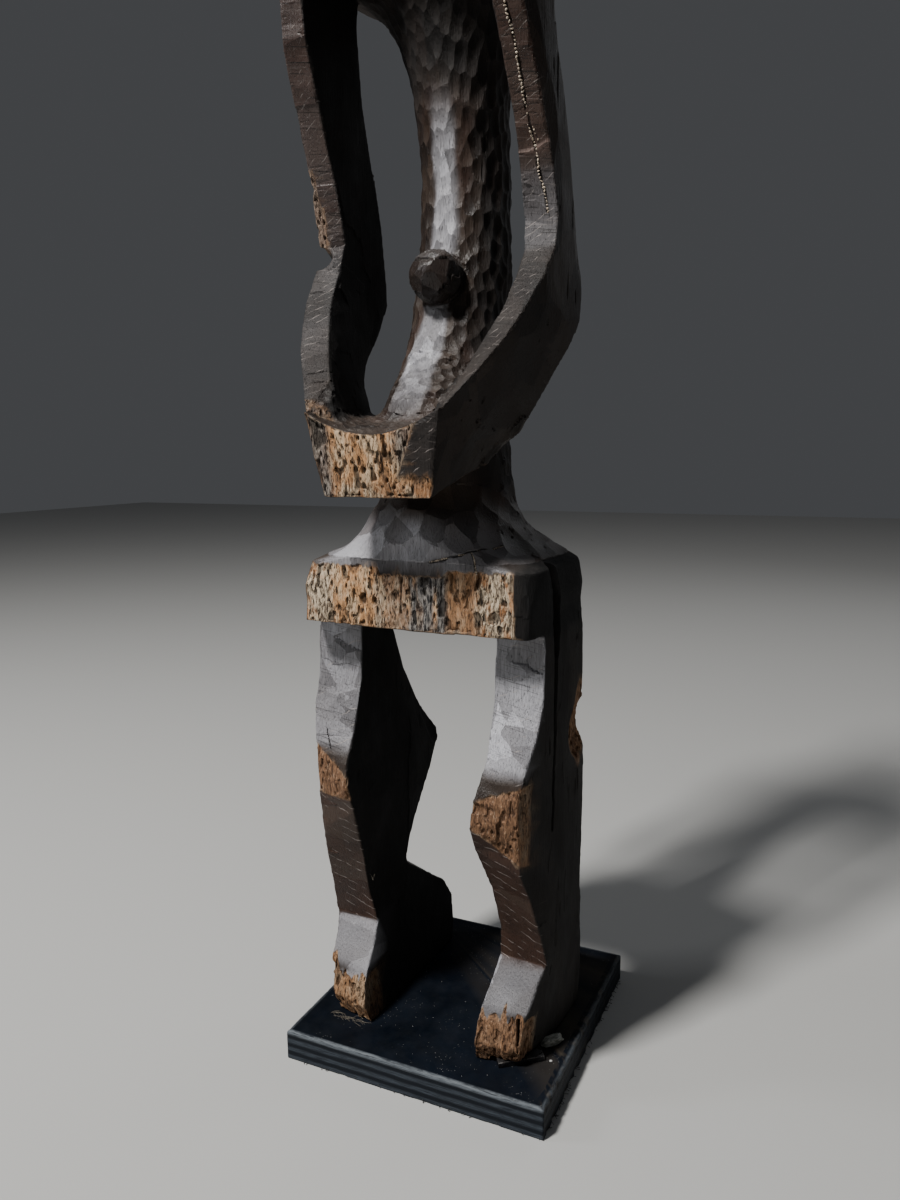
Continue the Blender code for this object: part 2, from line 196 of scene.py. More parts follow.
def new_piece(name, mesh, material, replaced=None):
    """A finished piece: named, given its material, riding on the root body."""
    piece = placed(name, mesh)
    mesh.materials.clear()
    mesh.materials.append(material)
    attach(piece, "root")
    if replaced:
        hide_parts(replaced)
    return piece


def applied(thing):
    """A new mesh of an object with its modifiers applied; the object itself goes."""
    bpy.context.view_layer.update()
    evaluated = thing.evaluated_get(bpy.context.evaluated_depsgraph_get())
    mesh = bpy.data.meshes.new_from_object(evaluated)
    bpy.data.objects.remove(thing, do_unlink=True)
    return mesh


# Shader node groups


class Graph:
    """A few short ways to lay out shader nodes."""

    def __init__(self, tree):
        self.tree = tree

    def add(self, kind, settings=None, **inputs):
        """A node with its settings and inputs; an input is a value or another node's output."""
        node = self.tree.nodes.new(kind)
        for key, value in (settings or {}).items():
            setattr(node, key, value)
        for key, value in inputs.items():
            self.feed(node, key.replace("_", " "), value)
        return node

    def feed(self, node, key, value):
        """Set one input by its name or number."""
        socket = node.inputs[int(key)] if key.isdigit() else node.inputs[key]
        if isinstance(value, bpy.types.NodeSocket):
            self.tree.links.new(value, socket)
        elif socket.type == "RGBA":
            socket.default_value = (*value, 1.0)
        else:
            socket.default_value = value

    def part(self, vector, axis):
        """A vector's size along one axis."""
        return self.add("ShaderNodeSeparateXYZ", Vector=vector).outputs[axis]

    def math(self, operation, first, second=None, third=None, clamp=False):
        """A maths node's output."""
        node = self.add("ShaderNodeMath", {"operation": operation, "use_clamp": clamp})
        for number, value in enumerate((first, second, third)):
            if value is not None:
                self.feed(node, str(number), value)
        return node.outputs[0]

    def times(self, first, second):
        """One value multiplied by another."""
        return self.math("MULTIPLY", first, second)

    def over(self, below, mask, strength, colour):
        """A colour laid over another where a mask says, at some strength."""
        return self.mix(self.times(mask, strength), below, colour)

    def mix(self, share, first, second):
        """A colour between two."""
        node = self.add("ShaderNodeMix", {"data_type": "RGBA"})
        for key, value in (("0", share), ("6", first), ("7", second)):
            self.feed(node, key, value)
        return node.outputs[2]

    def spread(self, value, low, high, bottom=0.0, top=1.0):
        """A value stretched from low..high to bottom..top, and held there."""
        node = self.add("ShaderNodeMapRange", {"clamp": True})
        for number, item in enumerate((value, low, high, bottom, top)):
            self.feed(node, str(number), item)
        return node.outputs[0]

    def stretched(self, vector, sizes):
        """Coordinates divided by a size along each axis, in metres."""
        node = self.add("ShaderNodeVectorMath", {"operation": "MULTIPLY"})
        self.feed(node, "0", vector)
        self.feed(node, "1", tuple(1.0 / size for size in sizes))
        return node.outputs[0]

    def lumps(self, vector, scale, detail=3.0, roughness=0.55):
        """Noise from 0 to 1."""
        node = self.add("ShaderNodeTexNoise", Vector=vector, Scale=scale, Detail=detail,
                        Roughness=roughness)
        return node.outputs["Fac"]

    def stored(self, name):
        """A number kept on the mesh's points."""
        return self.add("ShaderNodeAttribute", {"attribute_name": name}).outputs["Fac"]


def new_group(name, inputs, outputs):
    """An empty node group with named inputs and outputs; returns it, its layout and its ends."""
    tree = bpy.data.node_groups.new(name, "ShaderNodeTree")
    for label, kind, value in inputs:
        socket = tree.interface.new_socket(label, in_out="INPUT", socket_type="NodeSocket" + kind)
        if value is not None:
            socket.default_value = value
    for label, kind in outputs:
        tree.interface.new_socket(label, in_out="OUTPUT", socket_type="NodeSocket" + kind)
    start = tree.nodes.new("NodeGroupInput")
    end = tree.nodes.new("NodeGroupOutput")
    return tree, Graph(tree), start.outputs, end


def wood_grain_group():
    """Long fibres running up the wood, with short pores."""
    tree, graph, given, end = new_group(
        "wood grain", (("Vector", "Vector", None), ("Fibre", "Float", 1.0)),
        (("Fibre", "Float"), ("Pores", "Float"), ("Cloud", "Float")))
    fibres = graph.lumps(graph.stretched(given["Vector"], (0.0011, 0.0011, 0.017)), 1.0, 4.0, 0.6)
    shorter = graph.lumps(graph.stretched(given["Vector"], (0.0006, 0.0006, 0.005)), 1.0, 2.0, 0.6)
    cloud = graph.lumps(graph.stretched(given["Vector"], (0.03, 0.03, 0.055)), 1.0, 4.0, 0.6)
    graph.feed(end, "Fibre", graph.times(fibres, given["Fibre"]))
    graph.feed(end, "Pores", graph.spread(shorter, 0.60, 0.72))
    graph.feed(end, "Cloud", cloud)
    return tree


def blade_lines_group():
    """Thin lines that a blade leaves side by side across the wood."""
    tree, graph, given, end = new_group(
        "blade lines", (("Vector", "Vector", None), ("Spacing", "Float", 0.009), ("Slant", "Float", 0.4),
                        ("Width", "Float", 0.12), ("Cover", "Float", 0.5)), (("Lines", "Float"),))
    sway = graph.lumps(graph.stretched(given["Vector"], (0.012, 0.012, 0.014)), 1.0, 2.0)
    height = graph.math("MULTIPLY_ADD", graph.part(given["Vector"], "X"), given["Slant"],
                        graph.part(given["Vector"], "Z"))
    height = graph.math("MULTIPLY_ADD", sway, 0.006, height)
    turn = graph.times(graph.math("DIVIDE", height, given["Spacing"]), math.pi)
    wave = graph.math("ABSOLUTE", graph.math("SINE", turn))
    line = graph.math("LESS_THAN", wave, given["Width"])
    cover = graph.lumps(graph.stretched(given["Vector"], (0.012, 0.02, 0.0035)), 1.0, 3.0)
    cover = graph.spread(graph.math("ADD", cover, given["Cover"]), 0.95, 1.08)
    graph.feed(end, "Lines", graph.times(line, cover))
    return tree


def dust_group():
    """Fine dust that lies on whatever faces up."""
    tree, graph, given, end = new_group(
        "settled dust", (("Vector", "Vector", None), ("Amount", "Float", 0.3)),
        (("Dust", "Float"), ("Specks", "Float")))
    up = graph.part(graph.add("ShaderNodeNewGeometry").outputs["Normal"], "Z")
    cloud = graph.lumps(given["Vector"], 45.0, 5.0, 0.65)
    film = graph.times(graph.spread(up, 0.2, 0.95), graph.spread(cloud, 0.35, 0.75))
    spots = graph.add("ShaderNodeTexVoronoi", Vector=given["Vector"], Scale=420.0).outputs["Distance"]
    wide = graph.lumps(given["Vector"], 30.0, 2.0)
    small = graph.times(graph.spread(spots, 0.13, 0.08), graph.spread(wide, 0.54, 0.64))
    graph.feed(end, "Dust", graph.times(film, given["Amount"]))
    graph.feed(end, "Specks", graph.times(small, graph.spread(up, 0.7, 0.95)))
    return tree


def group_node(graph, tree, **inputs):
    """A node group placed in a material."""
    node = graph.add("ShaderNodeGroup", {"node_tree": tree})
    for key, value in inputs.items():
        graph.feed(node, key, value)
    return node.outputs


def new_material(name):
    """An empty Principled material: its layout, its shader and the object's own coordinates."""
    material = bpy.data.materials.new(name)
    material.use_nodes = True
    graph = Graph(material.node_tree)
    shader = material.node_tree.nodes["Principled BSDF"]
    place = graph.add("ShaderNodeTexCoord").outputs["Object"]
    return material, graph, shader, place


def bumped(graph, shader, height, strength, distance):
    """Fine relief below what the mesh carries."""
    bump = graph.add("ShaderNodeBump", Strength=strength, Distance=distance, Height=height)
    graph.feed(shader, "Normal", bump.outputs["Normal"])


# Where the blade left lines: attribute, spacing, slant, width, cover and strength
BLADE_LINES = (
    ("shin", 0.0084, 0.45, 0.12, 0.48, 0.7),
    ("arm_front", 0.0058, -0.62, 0.14, 0.44, 0.5),
    ("thigh", 0.0105, -0.38, 0.10, 0.44, 0.6),
)


def skin_colour(graph, place, grain, fibre, cloud, blade_lines):
    """Handled wood: brown, with painted shade and a painted grey sheen, scored by the blade."""
    mark = graph.stored("mark")
    dark = graph.mix(cloud, (0.0075, 0.0055, 0.0050), (0.022, 0.015, 0.012))
    dark = graph.over(dark, fibre, 0.45, (0.036, 0.026, 0.021))
    warm = graph.mix(cloud, (0.032, 0.013, 0.008), (0.060, 0.027, 0.016))
    dark = graph.over(dark, graph.stored("red"), 0.75, warm)
    dark = graph.mix(graph.spread(mark, 0.2, 1.0, 0.0, 0.55), dark, (0.058, 0.041, 0.031))
    # Painted shade: faces turned from the light, the trunk under the chest and the lower arms go nearly
    # black
    dark = graph.mix(graph.stored("shaded"), dark, (0.0030, 0.0028, 0.0030))
    dark = graph.over(dark, graph.stored("polish"), 0.85, (0.020, 0.015, 0.013))
    # Painted sheen: pale grey laid where the light glints off the wood, scaled by each mark's tint
    grey = graph.mix(graph.times(fibre, 0.7), (0.310, 0.310, 0.335), (0.610, 0.610, 0.655))
    facet = graph.spread(mark, 0.0, 1.0, 0.35, 1.30)
    skin = graph.mix(graph.math("MULTIPLY", graph.stored("painted_sheen"), facet, clamp=True), dark, grey)

    tilted = graph.add("ShaderNodeVectorRotate", {"rotation_type": "Y_AXIS"}, Vector=place, Angle=-0.16)
    across = graph.lumps(graph.stretched(tilted.outputs[0], (0.030, 0.030, 0.0011)), 1.0, 3.0, 0.6)
    banded = graph.math("MAXIMUM", graph.stored("arm_front"), graph.times(graph.stored("thigh"), 0.6))
    bright = graph.times(graph.spread(across, 0.60, 0.70), banded)
    dull = graph.times(graph.spread(across, 0.42, 0.34), banded)
    skin = graph.over(skin, bright, 0.30, (0.20, 0.175, 0.165))
    skin = graph.over(skin, dull, 0.8, (0.008, 0.006, 0.005))
    for name, spacing, slant, width, cover, strength in BLADE_LINES:
        lines = group_node(graph, blade_lines, Vector=place, Spacing=spacing, Slant=slant,
                           Width=width, Cover=cover)
        share = graph.times(graph.stored(name), strength)
        skin = graph.over(skin, lines["Lines"], share, (0.34, 0.30, 0.28))
    skin = graph.over(skin, graph.stored("ridge"), 0.35, (0.28, 0.19, 0.16))
    pores = graph.math("SUBTRACT", grain["Pores"], graph.stored("calm"), clamp=True)
    return graph.over(skin, pores, 0.55, (0.006, 0.004, 0.004))


def rotten_colour(graph, place):
    """Bare end grain: tan, crumbly, rusty or ashen, with dark pits. Also returns its streaks."""
    sway = graph.add("ShaderNodeTexNoise", Vector=graph.stretched(place, (0.012, 0.012, 0.02)),
                     Scale=1.0, Detail=2.0).outputs["Color"]
    swayed = graph.add("ShaderNodeVectorMath", {"operation": "MULTIPLY_ADD"})
    for number, value in enumerate((sway, (0.006, 0.006, 0.004), place)):
        graph.feed(swayed, str(number), value)
    swayed = swayed.outputs[0]
    streak = graph.lumps(graph.stretched(swayed, (0.0014, 0.0014, 0.0066)), 1.0, 5.0, 0.72)
    patch = graph.lumps(graph.stretched(swayed, (0.010, 0.02, 0.022)), 1.0, 4.0, 0.62)
    pits = graph.lumps(graph.stretched(swayed, (0.0012, 0.0012, 0.0052)), 1.0, 4.0, 0.65)

    tan = graph.mix(graph.spread(patch, 0.42, 0.54), (0.58, 0.42, 0.27), (0.52, 0.28, 0.13))
    tan = graph.mix(graph.spread(patch, 0.55, 0.66), tan, (0.15, 0.085, 0.048))
    tan = graph.mix(graph.spread(streak, 0.50, 0.38), tan, (0.075, 0.038, 0.018))
    tan = graph.mix(graph.spread(streak, 0.60, 0.70), tan, (0.72, 0.60, 0.44))
    crumbs = graph.mix(graph.spread(streak, 0.42, 0.56), (0.045, 0.028, 0.018), (0.62, 0.50, 0.36))
    crumbs = graph.mix(graph.spread(patch, 0.48, 0.60, 0.0, 0.7), crumbs, (0.40, 0.17, 0.06))
    rusty = graph.mix(graph.spread(streak, 0.36, 0.66), (0.046, 0.022, 0.013), (0.32, 0.175, 0.095))
    rusty = graph.mix(graph.spread(pits, 0.60, 0.70), rusty, (0.48, 0.34, 0.23))
    ashen = graph.mix(graph.spread(streak, 0.42, 0.60), (0.012, 0.012, 0.015), (0.27, 0.25, 0.23))
    raw = tan
    for name, kind in (("crumbs", crumbs), ("rust", rusty), ("ash", ashen)):
        raw = graph.mix(graph.stored(name), raw, kind)
    fewer = graph.spread(graph.stored("rust"), 0.0, 1.0, 1.0, 0.5)
    return graph.over(raw, graph.spread(pits, 0.435, 0.39), fewer, (0.014, 0.008, 0.005)), streak


def carved_wood(grain_group, dust, blade_lines):
    """Dark handled wood with a painted grey sheen and painted shade, pale and pitted where the end grain
    rots.
    """
    material, graph, shader, place = new_material("carved wood")
    grain = group_node(graph, grain_group, Vector=place)
    fibre = graph.spread(grain["Fibre"], 0.30, 0.70)
    fibre = graph.over(fibre, graph.stored("calm"), 0.8, (0.4, 0.4, 0.4))
    cloud = graph.spread(grain["Cloud"], 0.35, 0.65)
    skin = skin_colour(graph, place, grain, fibre, cloud, blade_lines)
    raw, streak = rotten_colour(graph, place)
    rot = graph.stored("rot")
    painted_hollow_shade = graph.stored("painted_hollow_shade")
    colour = graph.mix(rot, skin, raw)
    # Painted shade: cracks, slits and pits darkened nearly to black
    colour = graph.mix(painted_hollow_shade, colour, (0.006, 0.004, 0.003))
    film = group_node(graph, dust, Vector=place, Amount=0.12)
    colour = graph.mix(film["Dust"], colour, (0.30, 0.28, 0.26))
    graph.feed(shader, "Base Color", colour)

    gloss = graph.spread(cloud, 0.0, 1.0, 0.30, 0.46)
    gloss = graph.math("ADD", gloss, graph.times(fibre, 0.10))
    gloss = graph.math("SUBTRACT", gloss, graph.times(graph.stored("polish"), 0.20))
    gloss = graph.math("MULTIPLY_ADD", graph.stored("shaded"), 0.42, gloss)
    rough = graph.mix(rot, gloss, (0.92, 0.92, 0.92))
    graph.feed(shader, "Roughness", graph.math("MAXIMUM", rough, graph.times(painted_hollow_shade, 0.85)))
    graph.feed(shader, "Specular IOR Level", 0.24)
    height = graph.math("ADD", graph.times(grain["Fibre"], 0.45), graph.times(streak, rot))
    height = graph.math("SUBTRACT", height, graph.times(grain["Pores"], 0.35))
    bumped(graph, shader, height, 0.8, 0.0014)
    return material


PLY_THICKNESS = 0.0035


def painted_plywood(dust):
    """Black painted board: plies show at its edges, its corners are worn and chipped, and its front rim has
    a painted highlight.
    """
    material, graph, shader, place = new_material("painted plywood")
    film = group_node(graph, dust, Vector=place, Amount=0.015)
    facing = graph.add("ShaderNodeNewGeometry").outputs["Normal"]
    side = graph.spread(graph.math("ABSOLUTE", graph.part(facing, "Z")), 0.75, 0.45)
    # Painted shade: the pale plies fade on the side facing +x, away from the light
    lit_side = graph.spread(graph.part(facing, "X"), 0.8, 0.4, 0.35, 1.0)
    wander = graph.lumps(graph.stretched(place, (0.05, 0.05, 0.01)), 1.0, 3.0)
    plies = graph.times(graph.part(place, "Z"), 1 / PLY_THICKNESS)
    layer = graph.math("ADD", plies, graph.times(wander, 0.8))
    stripe = graph.math("PINGPONG", layer, 1.0)
    along = graph.lumps(graph.stretched(place, (0.012, 0.012, 0.0006)), 1.0, 4.0, 0.7)
    stripe = graph.times(graph.spread(stripe, 0.30, 0.70), graph.spread(along, 0.30, 0.62))
    stripe = graph.times(stripe, lit_side)
    patches = graph.lumps(place, 26.0, 4.0, 0.6)
    top = graph.mix(graph.spread(patches, 0.35, 0.70), (0.0014, 0.0026, 0.0050), (0.0045, 0.0070, 0.0125))
    edge = graph.mix(stripe, (0.008, 0.010, 0.014), (0.050, 0.060, 0.074))
    colour = graph.mix(side, top, edge)
    # Worn paint on the rims, with a painted highlight making the front rim paler
    colour = graph.over(colour, graph.stored("wear_and_painted_glint"), graph.spread(along, 0.30, 0.60), (0.17, 0.19, 0.21))
    colour = graph.mix(graph.stored("raw"), colour, (0.085, 0.068, 0.048))
    colour = graph.mix(film["Dust"], colour, (0.20, 0.19, 0.17))
    colour = graph.over(colour, film["Specks"], 0.35, (0.55, 0.55, 0.52))
    graph.feed(shader, "Base Color", colour)
    scuff = graph.lumps(place, 90.0, 4.0, 0.7)
    gloss = graph.mix(side, graph.spread(scuff, 0.3, 0.7, 0.42, 0.60), (0.62, 0.62, 0.62))
    graph.feed(shader, "Roughness", gloss)
    graph.feed(shader, "Specular IOR Level", 0.10)
    relief = graph.math("ADD", graph.times(graph.times(along, side), 0.8), graph.times(scuff, 0.12))
    bumped(graph, shader, relief, 0.5, 0.0006)
    return material


def black_shim_finish(dust):
    """Shiny black packing, pale along its edges with scuffs and a painted glint."""
    material, graph, shader, place = new_material("black shim")
    scuff = graph.lumps(place, 160.0, 4.0, 0.65)
    film = group_node(graph, dust, Vector=place, Amount=0.15)
    colour = graph.mix(graph.spread(scuff, 0.45, 0.75), (0.004, 0.004, 0.005), (0.020, 0.020, 0.022))
    # Scuffs and a painted glint along the rounded edges
    rubbed = graph.times(graph.stored("wear_and_painted_glint"), graph.spread(scuff, 0.45, 0.65))
    colour = graph.over(colour, rubbed, 0.6, (0.20, 0.19, 0.18))
    colour = graph.mix(film["Dust"], colour, (0.22, 0.20, 0.18))
    graph.feed(shader, "Base Color", colour)
    graph.feed(shader, "Roughness", graph.spread(scuff, 0.3, 0.7, 0.18, 0.42))
    bumped(graph, shader, scuff, 0.3, 0.0005)
    return material


def trace_finish(name, light, dark, roughness, scale):
    """Bits that lie on the piece: glue, straw, dust and chips, mottled between two colours."""
    material, graph, shader, place = new_material(name)
    mottle = graph.lumps(place, scale, 4.0, 0.65)
    graph.feed(shader, "Base Color", graph.mix(graph.spread(mottle, 0.35, 0.65), dark, light))
    graph.feed(shader, "Roughness", graph.spread(mottle, 0.3, 0.7, roughness - 0.1, roughness))
    bumped(graph, shader, mottle, 0.4, 0.0004)
    return material


# The carving's regions, in its own coordinates


class Place:
    """Where each point of the carving is, how it faces and which part it belongs to."""

    def __init__(self, mesh):
        points = to_carving(read_points(mesh))
        normals = read_normals(mesh) @ np.array(Matrix.Rotation(-FIGURE_TURN, 3, "Z")).T
        normals = relax(normals, read_edges(mesh), np.full(len(points), 0.5), 7)
        length = np.linalg.norm(normals, axis=1)
        normals = normals / np.maximum(length, 1e-6)[:, None]
        self.points = points
        self.normals = normals
        # 1 on even ground, 0 where the surface turns sharply
        self.flat = ramp(length, 0.84, 0.975)
        x, y, z = points.T
        self.x, self.y, self.z = x, y, z
        far = np.abs(x)
        outward = normals[:, 0] * np.sign(x)
        self.front = ramp(-normals[:, 1], 0.35, 0.75)
        self.outer = ramp(outward, 0.45, 0.8)
        self.inner = ramp(-outward, 0.45, 0.8)
        self.upward = ramp(normals[:, 2], 0.3, 0.8)

        self.leg = z < HIP_UNDERSIDE
        self.foot = z < FOOT_TOP
        self.hips = (z >= HIP_UNDERSIDE) & (z < HIP_TOP)
        self.head = z >= CHIN
        self.face = self.head & (y < -26) & (z < 975)
        hands_back = np.where(far > 43, -84 + (z - HANDS_BOTTOM) * 0.6, -85)
        hands = (z >= HANDS_BOTTOM) & (z < 500) & (y < hands_back)
        arms = (z >= 470) & (z < SHOULDER) & (far > np.where(z > 735, 64, 53))
        self.arm = hands | arms
        self.trunk = ~(self.leg | self.hips | self.arm | self.head)
        self.side_of_trunk = self.trunk * ramp(normals[:, 0], 0.60, 0.85)
        self.trough = (far < 50) & (y < -46) & (y > -124) & (z > 440) & (self.upward > 0.3)
        from_knob = np.linalg.norm(points - KNOB, axis=1)
        self.knob = from_knob < KNOB_RADIUS + 3.5
        away = ((points - KNOB) * normals).sum(axis=1) / np.maximum(from_knob, 1.0)
        self.knob_top = fall(from_knob, KNOB_RADIUS, KNOB_RADIUS + 2.0) * ramp(away, 0.3, 0.6)
        # Tool marks grow shallow where the shoulders turn into the smoother arms
        by_arm = self.trunk & (far > 58) & (z > 700)
        self.steady = np.where(by_arm, 0.15 + 0.85 * ramp(z, SHOULDER, SHOULDER + 35), 1.0)


def facet_plan(place):
    """Each kind of tool mark: where, spacing along x, y and z, tilt, how scooped, and most depth."""
    front = place.front > 0.5
    leg = place.leg
    thigh = leg & (place.z > 235) & front
    shin = leg & ~thigh & front & ~place.foot
    foot_top = place.foot & (front | (place.upward > 0.2))
    arm_front = place.arm & front
    arm_side = place.arm & ~arm_front
    low_trunk = place.trunk & (place.z < 425 + 9 * noise(place.points, (18, 18, 18), 35))
    body = place.trunk & ~low_trunk & ~place.knob & ~place.trough
    leg_side = (leg & ~thigh & ~shin & ~foot_top) | (place.hips & (place.outer > 0.5))
    return (
        (body, (6.4, 6.4, 11.0), 0.05, 2.2, 1.4),
        (low_trunk & ~place.knob, (16, 16, 12), 0.04, 2.8, 1.2),
        (place.trough, (7.5, 5.5, 7), 0.04, 3.4, 1.2),
        (place.knob, (9, 9, 9), 0.13, 0.3, 1.2),
        (place.hips & ~leg_side, (18, 18, 26), 0.015, 0.5, 0.5),
        (thigh, (15, 60, 10.5), 0.03, 0.9, 0.8),
        (shin, (40, 60, 13), 0.015, 0.4, 0.4),
        (foot_top, (26, 26, 26), 0.010, 0.3, 0.4),
        (leg_side, (16, 15, 50), 0.008, 0.5, 0.3),
        (arm_front & ~place.trough, (30, 30, 7.0), 0.04, 0.7, 0.6),
        (arm_side & ~place.trough, (15, 15, 22), 0.018, 0.8, 0.4),
        (place.head & ~place.face, (8, 8, 10), 0.02, 0.3, 0.5),
        (place.face, (9, 9, 10), 0.010, 0.3, 0.2),
    )


def spread_seeds(places, seed):
    """Points chosen at random so that no two are nearer than 1 to each other."""
    order = np.random.default_rng(seed).permutation(len(places))
    kept = {}
    chosen = []
    for index in order[:60000]:
        spot = places[index]
        cell = (math.floor(spot[0]), math.floor(spot[1]), math.floor(spot[2]))
        near = False
        for step in itertools.product((-1, 0, 1), repeat=3):
            for other in kept.get((cell[0] + step[0], cell[1] + step[1], cell[2] + step[2]), ()):
                gap = spot - other
                if gap[0] * gap[0] + gap[1] * gap[1] + gap[2] * gap[2] < 1.0:
                    near = True
                    break
            if near:
                break
        if not near:
            kept.setdefault(cell, []).append(spot)
            chosen.append(index)
    return chosen


MARK_NEIGHBOURS = 7
TURN_COST = 5.0


def cut_marks(place, inside, sizes, tilt, scoop, deepest, seed):
    """Shallow scoops cut by single strokes of the blade, meeting in ridges.

    Returns how far each point moves and the tint of the mark it lies in.
    """
    members = np.nonzero(inside)[0]
    moves = np.zeros(len(inside))
    tints = np.zeros(len(inside))
    if len(members) == 0:
        return moves, tints
    stretched = place.points[members] / np.array(sizes, dtype=float)
    seeds = spread_seeds(stretched, seed)
    rng = np.random.default_rng(seed + 1)
    centres = place.points[members[seeds]]
    facing = place.normals[members[seeds]] + rng.normal(0.0, tilt, (len(seeds), 3))
    facing /= np.linalg.norm(facing, axis=1)[:, None]
    tint = rng.random(len(seeds))
    sunk = rng.uniform(-0.07, 0.07, len(seeds))
    tree = KDTree(len(seeds))
    for number, index in enumerate(seeds):
        tree.insert(stretched[index], number)
    tree.balance()
    nearest = np.zeros((len(members), MARK_NEIGHBOURS), dtype=int)
    for row, spot in enumerate(stretched):
        found = [item[1] for item in tree.find_n(spot, MARK_NEIGHBOURS)]
        nearest[row] = (found * MARK_NEIGHBOURS)[:MARK_NEIGHBOURS]
    own = place.normals[members]
    gaps = np.linalg.norm(stretched[:, None, :] - stretched[seeds][nearest], axis=2)
    agree = (own[:, None, :] * facing[nearest]).sum(axis=2)
    along = ((centres[nearest] - place.points[members][:, None, :]) * facing[nearest]).sum(axis=2)
    along = along / np.maximum(0.6, agree) + sunk[nearest]
    depth = along + scoop * gaps ** 2
    lowest = np.argmin(depth + TURN_COST * ramp(1.0 - agree, 0.05, 0.35), axis=1)
    rows = np.arange(len(members))
    depth = np.clip(depth[rows, lowest] - scoop * 0.15, -deepest, deepest)
    moves[members] = depth * (place.flat * place.steady)[members] * ramp(agree[rows, lowest], 0.75, 0.92)
    tints[members] = tint[nearest[rows, lowest]]
    return moves, tints


# Lines on the carving, in its own coordinates: where cracks and scratches run

SIDE_CRACK = ((91.5, -41.5, 371), (91.5, -40.8, 362), (92.2, -37.0, 337), (93.9, -38.8, 316),
              (94, -40.6, 273), (93.7, -40.6, 229), (92.3, -38.4, 198), (92.2, -39, 176))
HIP_CRACK = ((17, -82.2, 372.2), (28.4, -81.7, 374.8), (40.4, -79.6, 377.9), (50.8, -73.3, 380.4),
             (56.8, -67, 381.4), (61, -58.4, 382.8))
HIP_BRANCH = ((46.4, -76.6, 379.2), (49.9, -80.6, 373.7), (52.3, -82.6, 366))
TOE_CRACK = ((78.8, -70.4, 39), (79.4, -71.4, 34), (81.1, -73.5, 12))
THIGH_CRACK = ((-78.1, -75.8, 244), (-75.7, -78.4, 234.6), (-70.4, -82.5, 224.8))
ARM_CRACK = ((75.3, -88.1, 707.3), (77, -83.2, 696.4), (78.2, -78.2, 685.3), (78.6, -73, 673.7),
             (79.1, -67.9, 661.7), (79.8, -63.1, 650.4), (80.9, -59.1, 641), (82.4, -56.7, 634),
             (83.2, -52.9, 621.1), (85.8, -50.2, 611), (87, -46.5, 598))

# How far round each line the mesh is made finer
FINE_LINES = ((SIDE_CRACK, 6), (HIP_CRACK, 4), (HIP_BRANCH, 4), (TOE_CRACK, 5), (THIGH_CRACK, 4),
              (ARM_CRACK, 4))
# Half the width and the depth of the open cracks
OPEN_CRACKS = ((SIDE_CRACK, 5.8, 9.0), (TOE_CRACK, 1.3, 5.0), (HIP_BRANCH, 0.7, 1.2),
               (THIGH_CRACK, 0.45, 1.0))
# Half the width of the cracks that pale chips fill, and how those wander: amount, size and seed
CHIPPED_WIDTH = 0.75
CHIP_WANDER = (1.0, (4, 4, 5), 64)
# How far apart the points of such a crack's line are, before it wanders
CHIP_STEP = 2.0


def line_distance(points, line):
    """How far each point is from a line of straight runs, and how far along it that is."""
    best = np.full(len(points), 1e9)
    along = np.zeros(len(points))
    done = 0.0
    for first, second in zip(np.array(line, dtype=float), np.array(line[1:], dtype=float)):
        step = second - first
        length = np.linalg.norm(step)
        part = np.clip(((points - first) @ step) / length ** 2, 0.0, 1.0)
        gap = np.linalg.norm(points - first - part[:, None] * step, axis=1)
        nearer = gap < best
        best[nearer] = gap[nearer]
        along[nearer] = done + part[nearer] * length
        done += length
    return best, along


def wandering(points, amount, size, seed):
    """Points pushed about a little, so that what is drawn on them isn't straight."""
    shift = np.stack([noise(points, size, seed + axis) for axis in range(3)], axis=1)
    return points + shift * amount


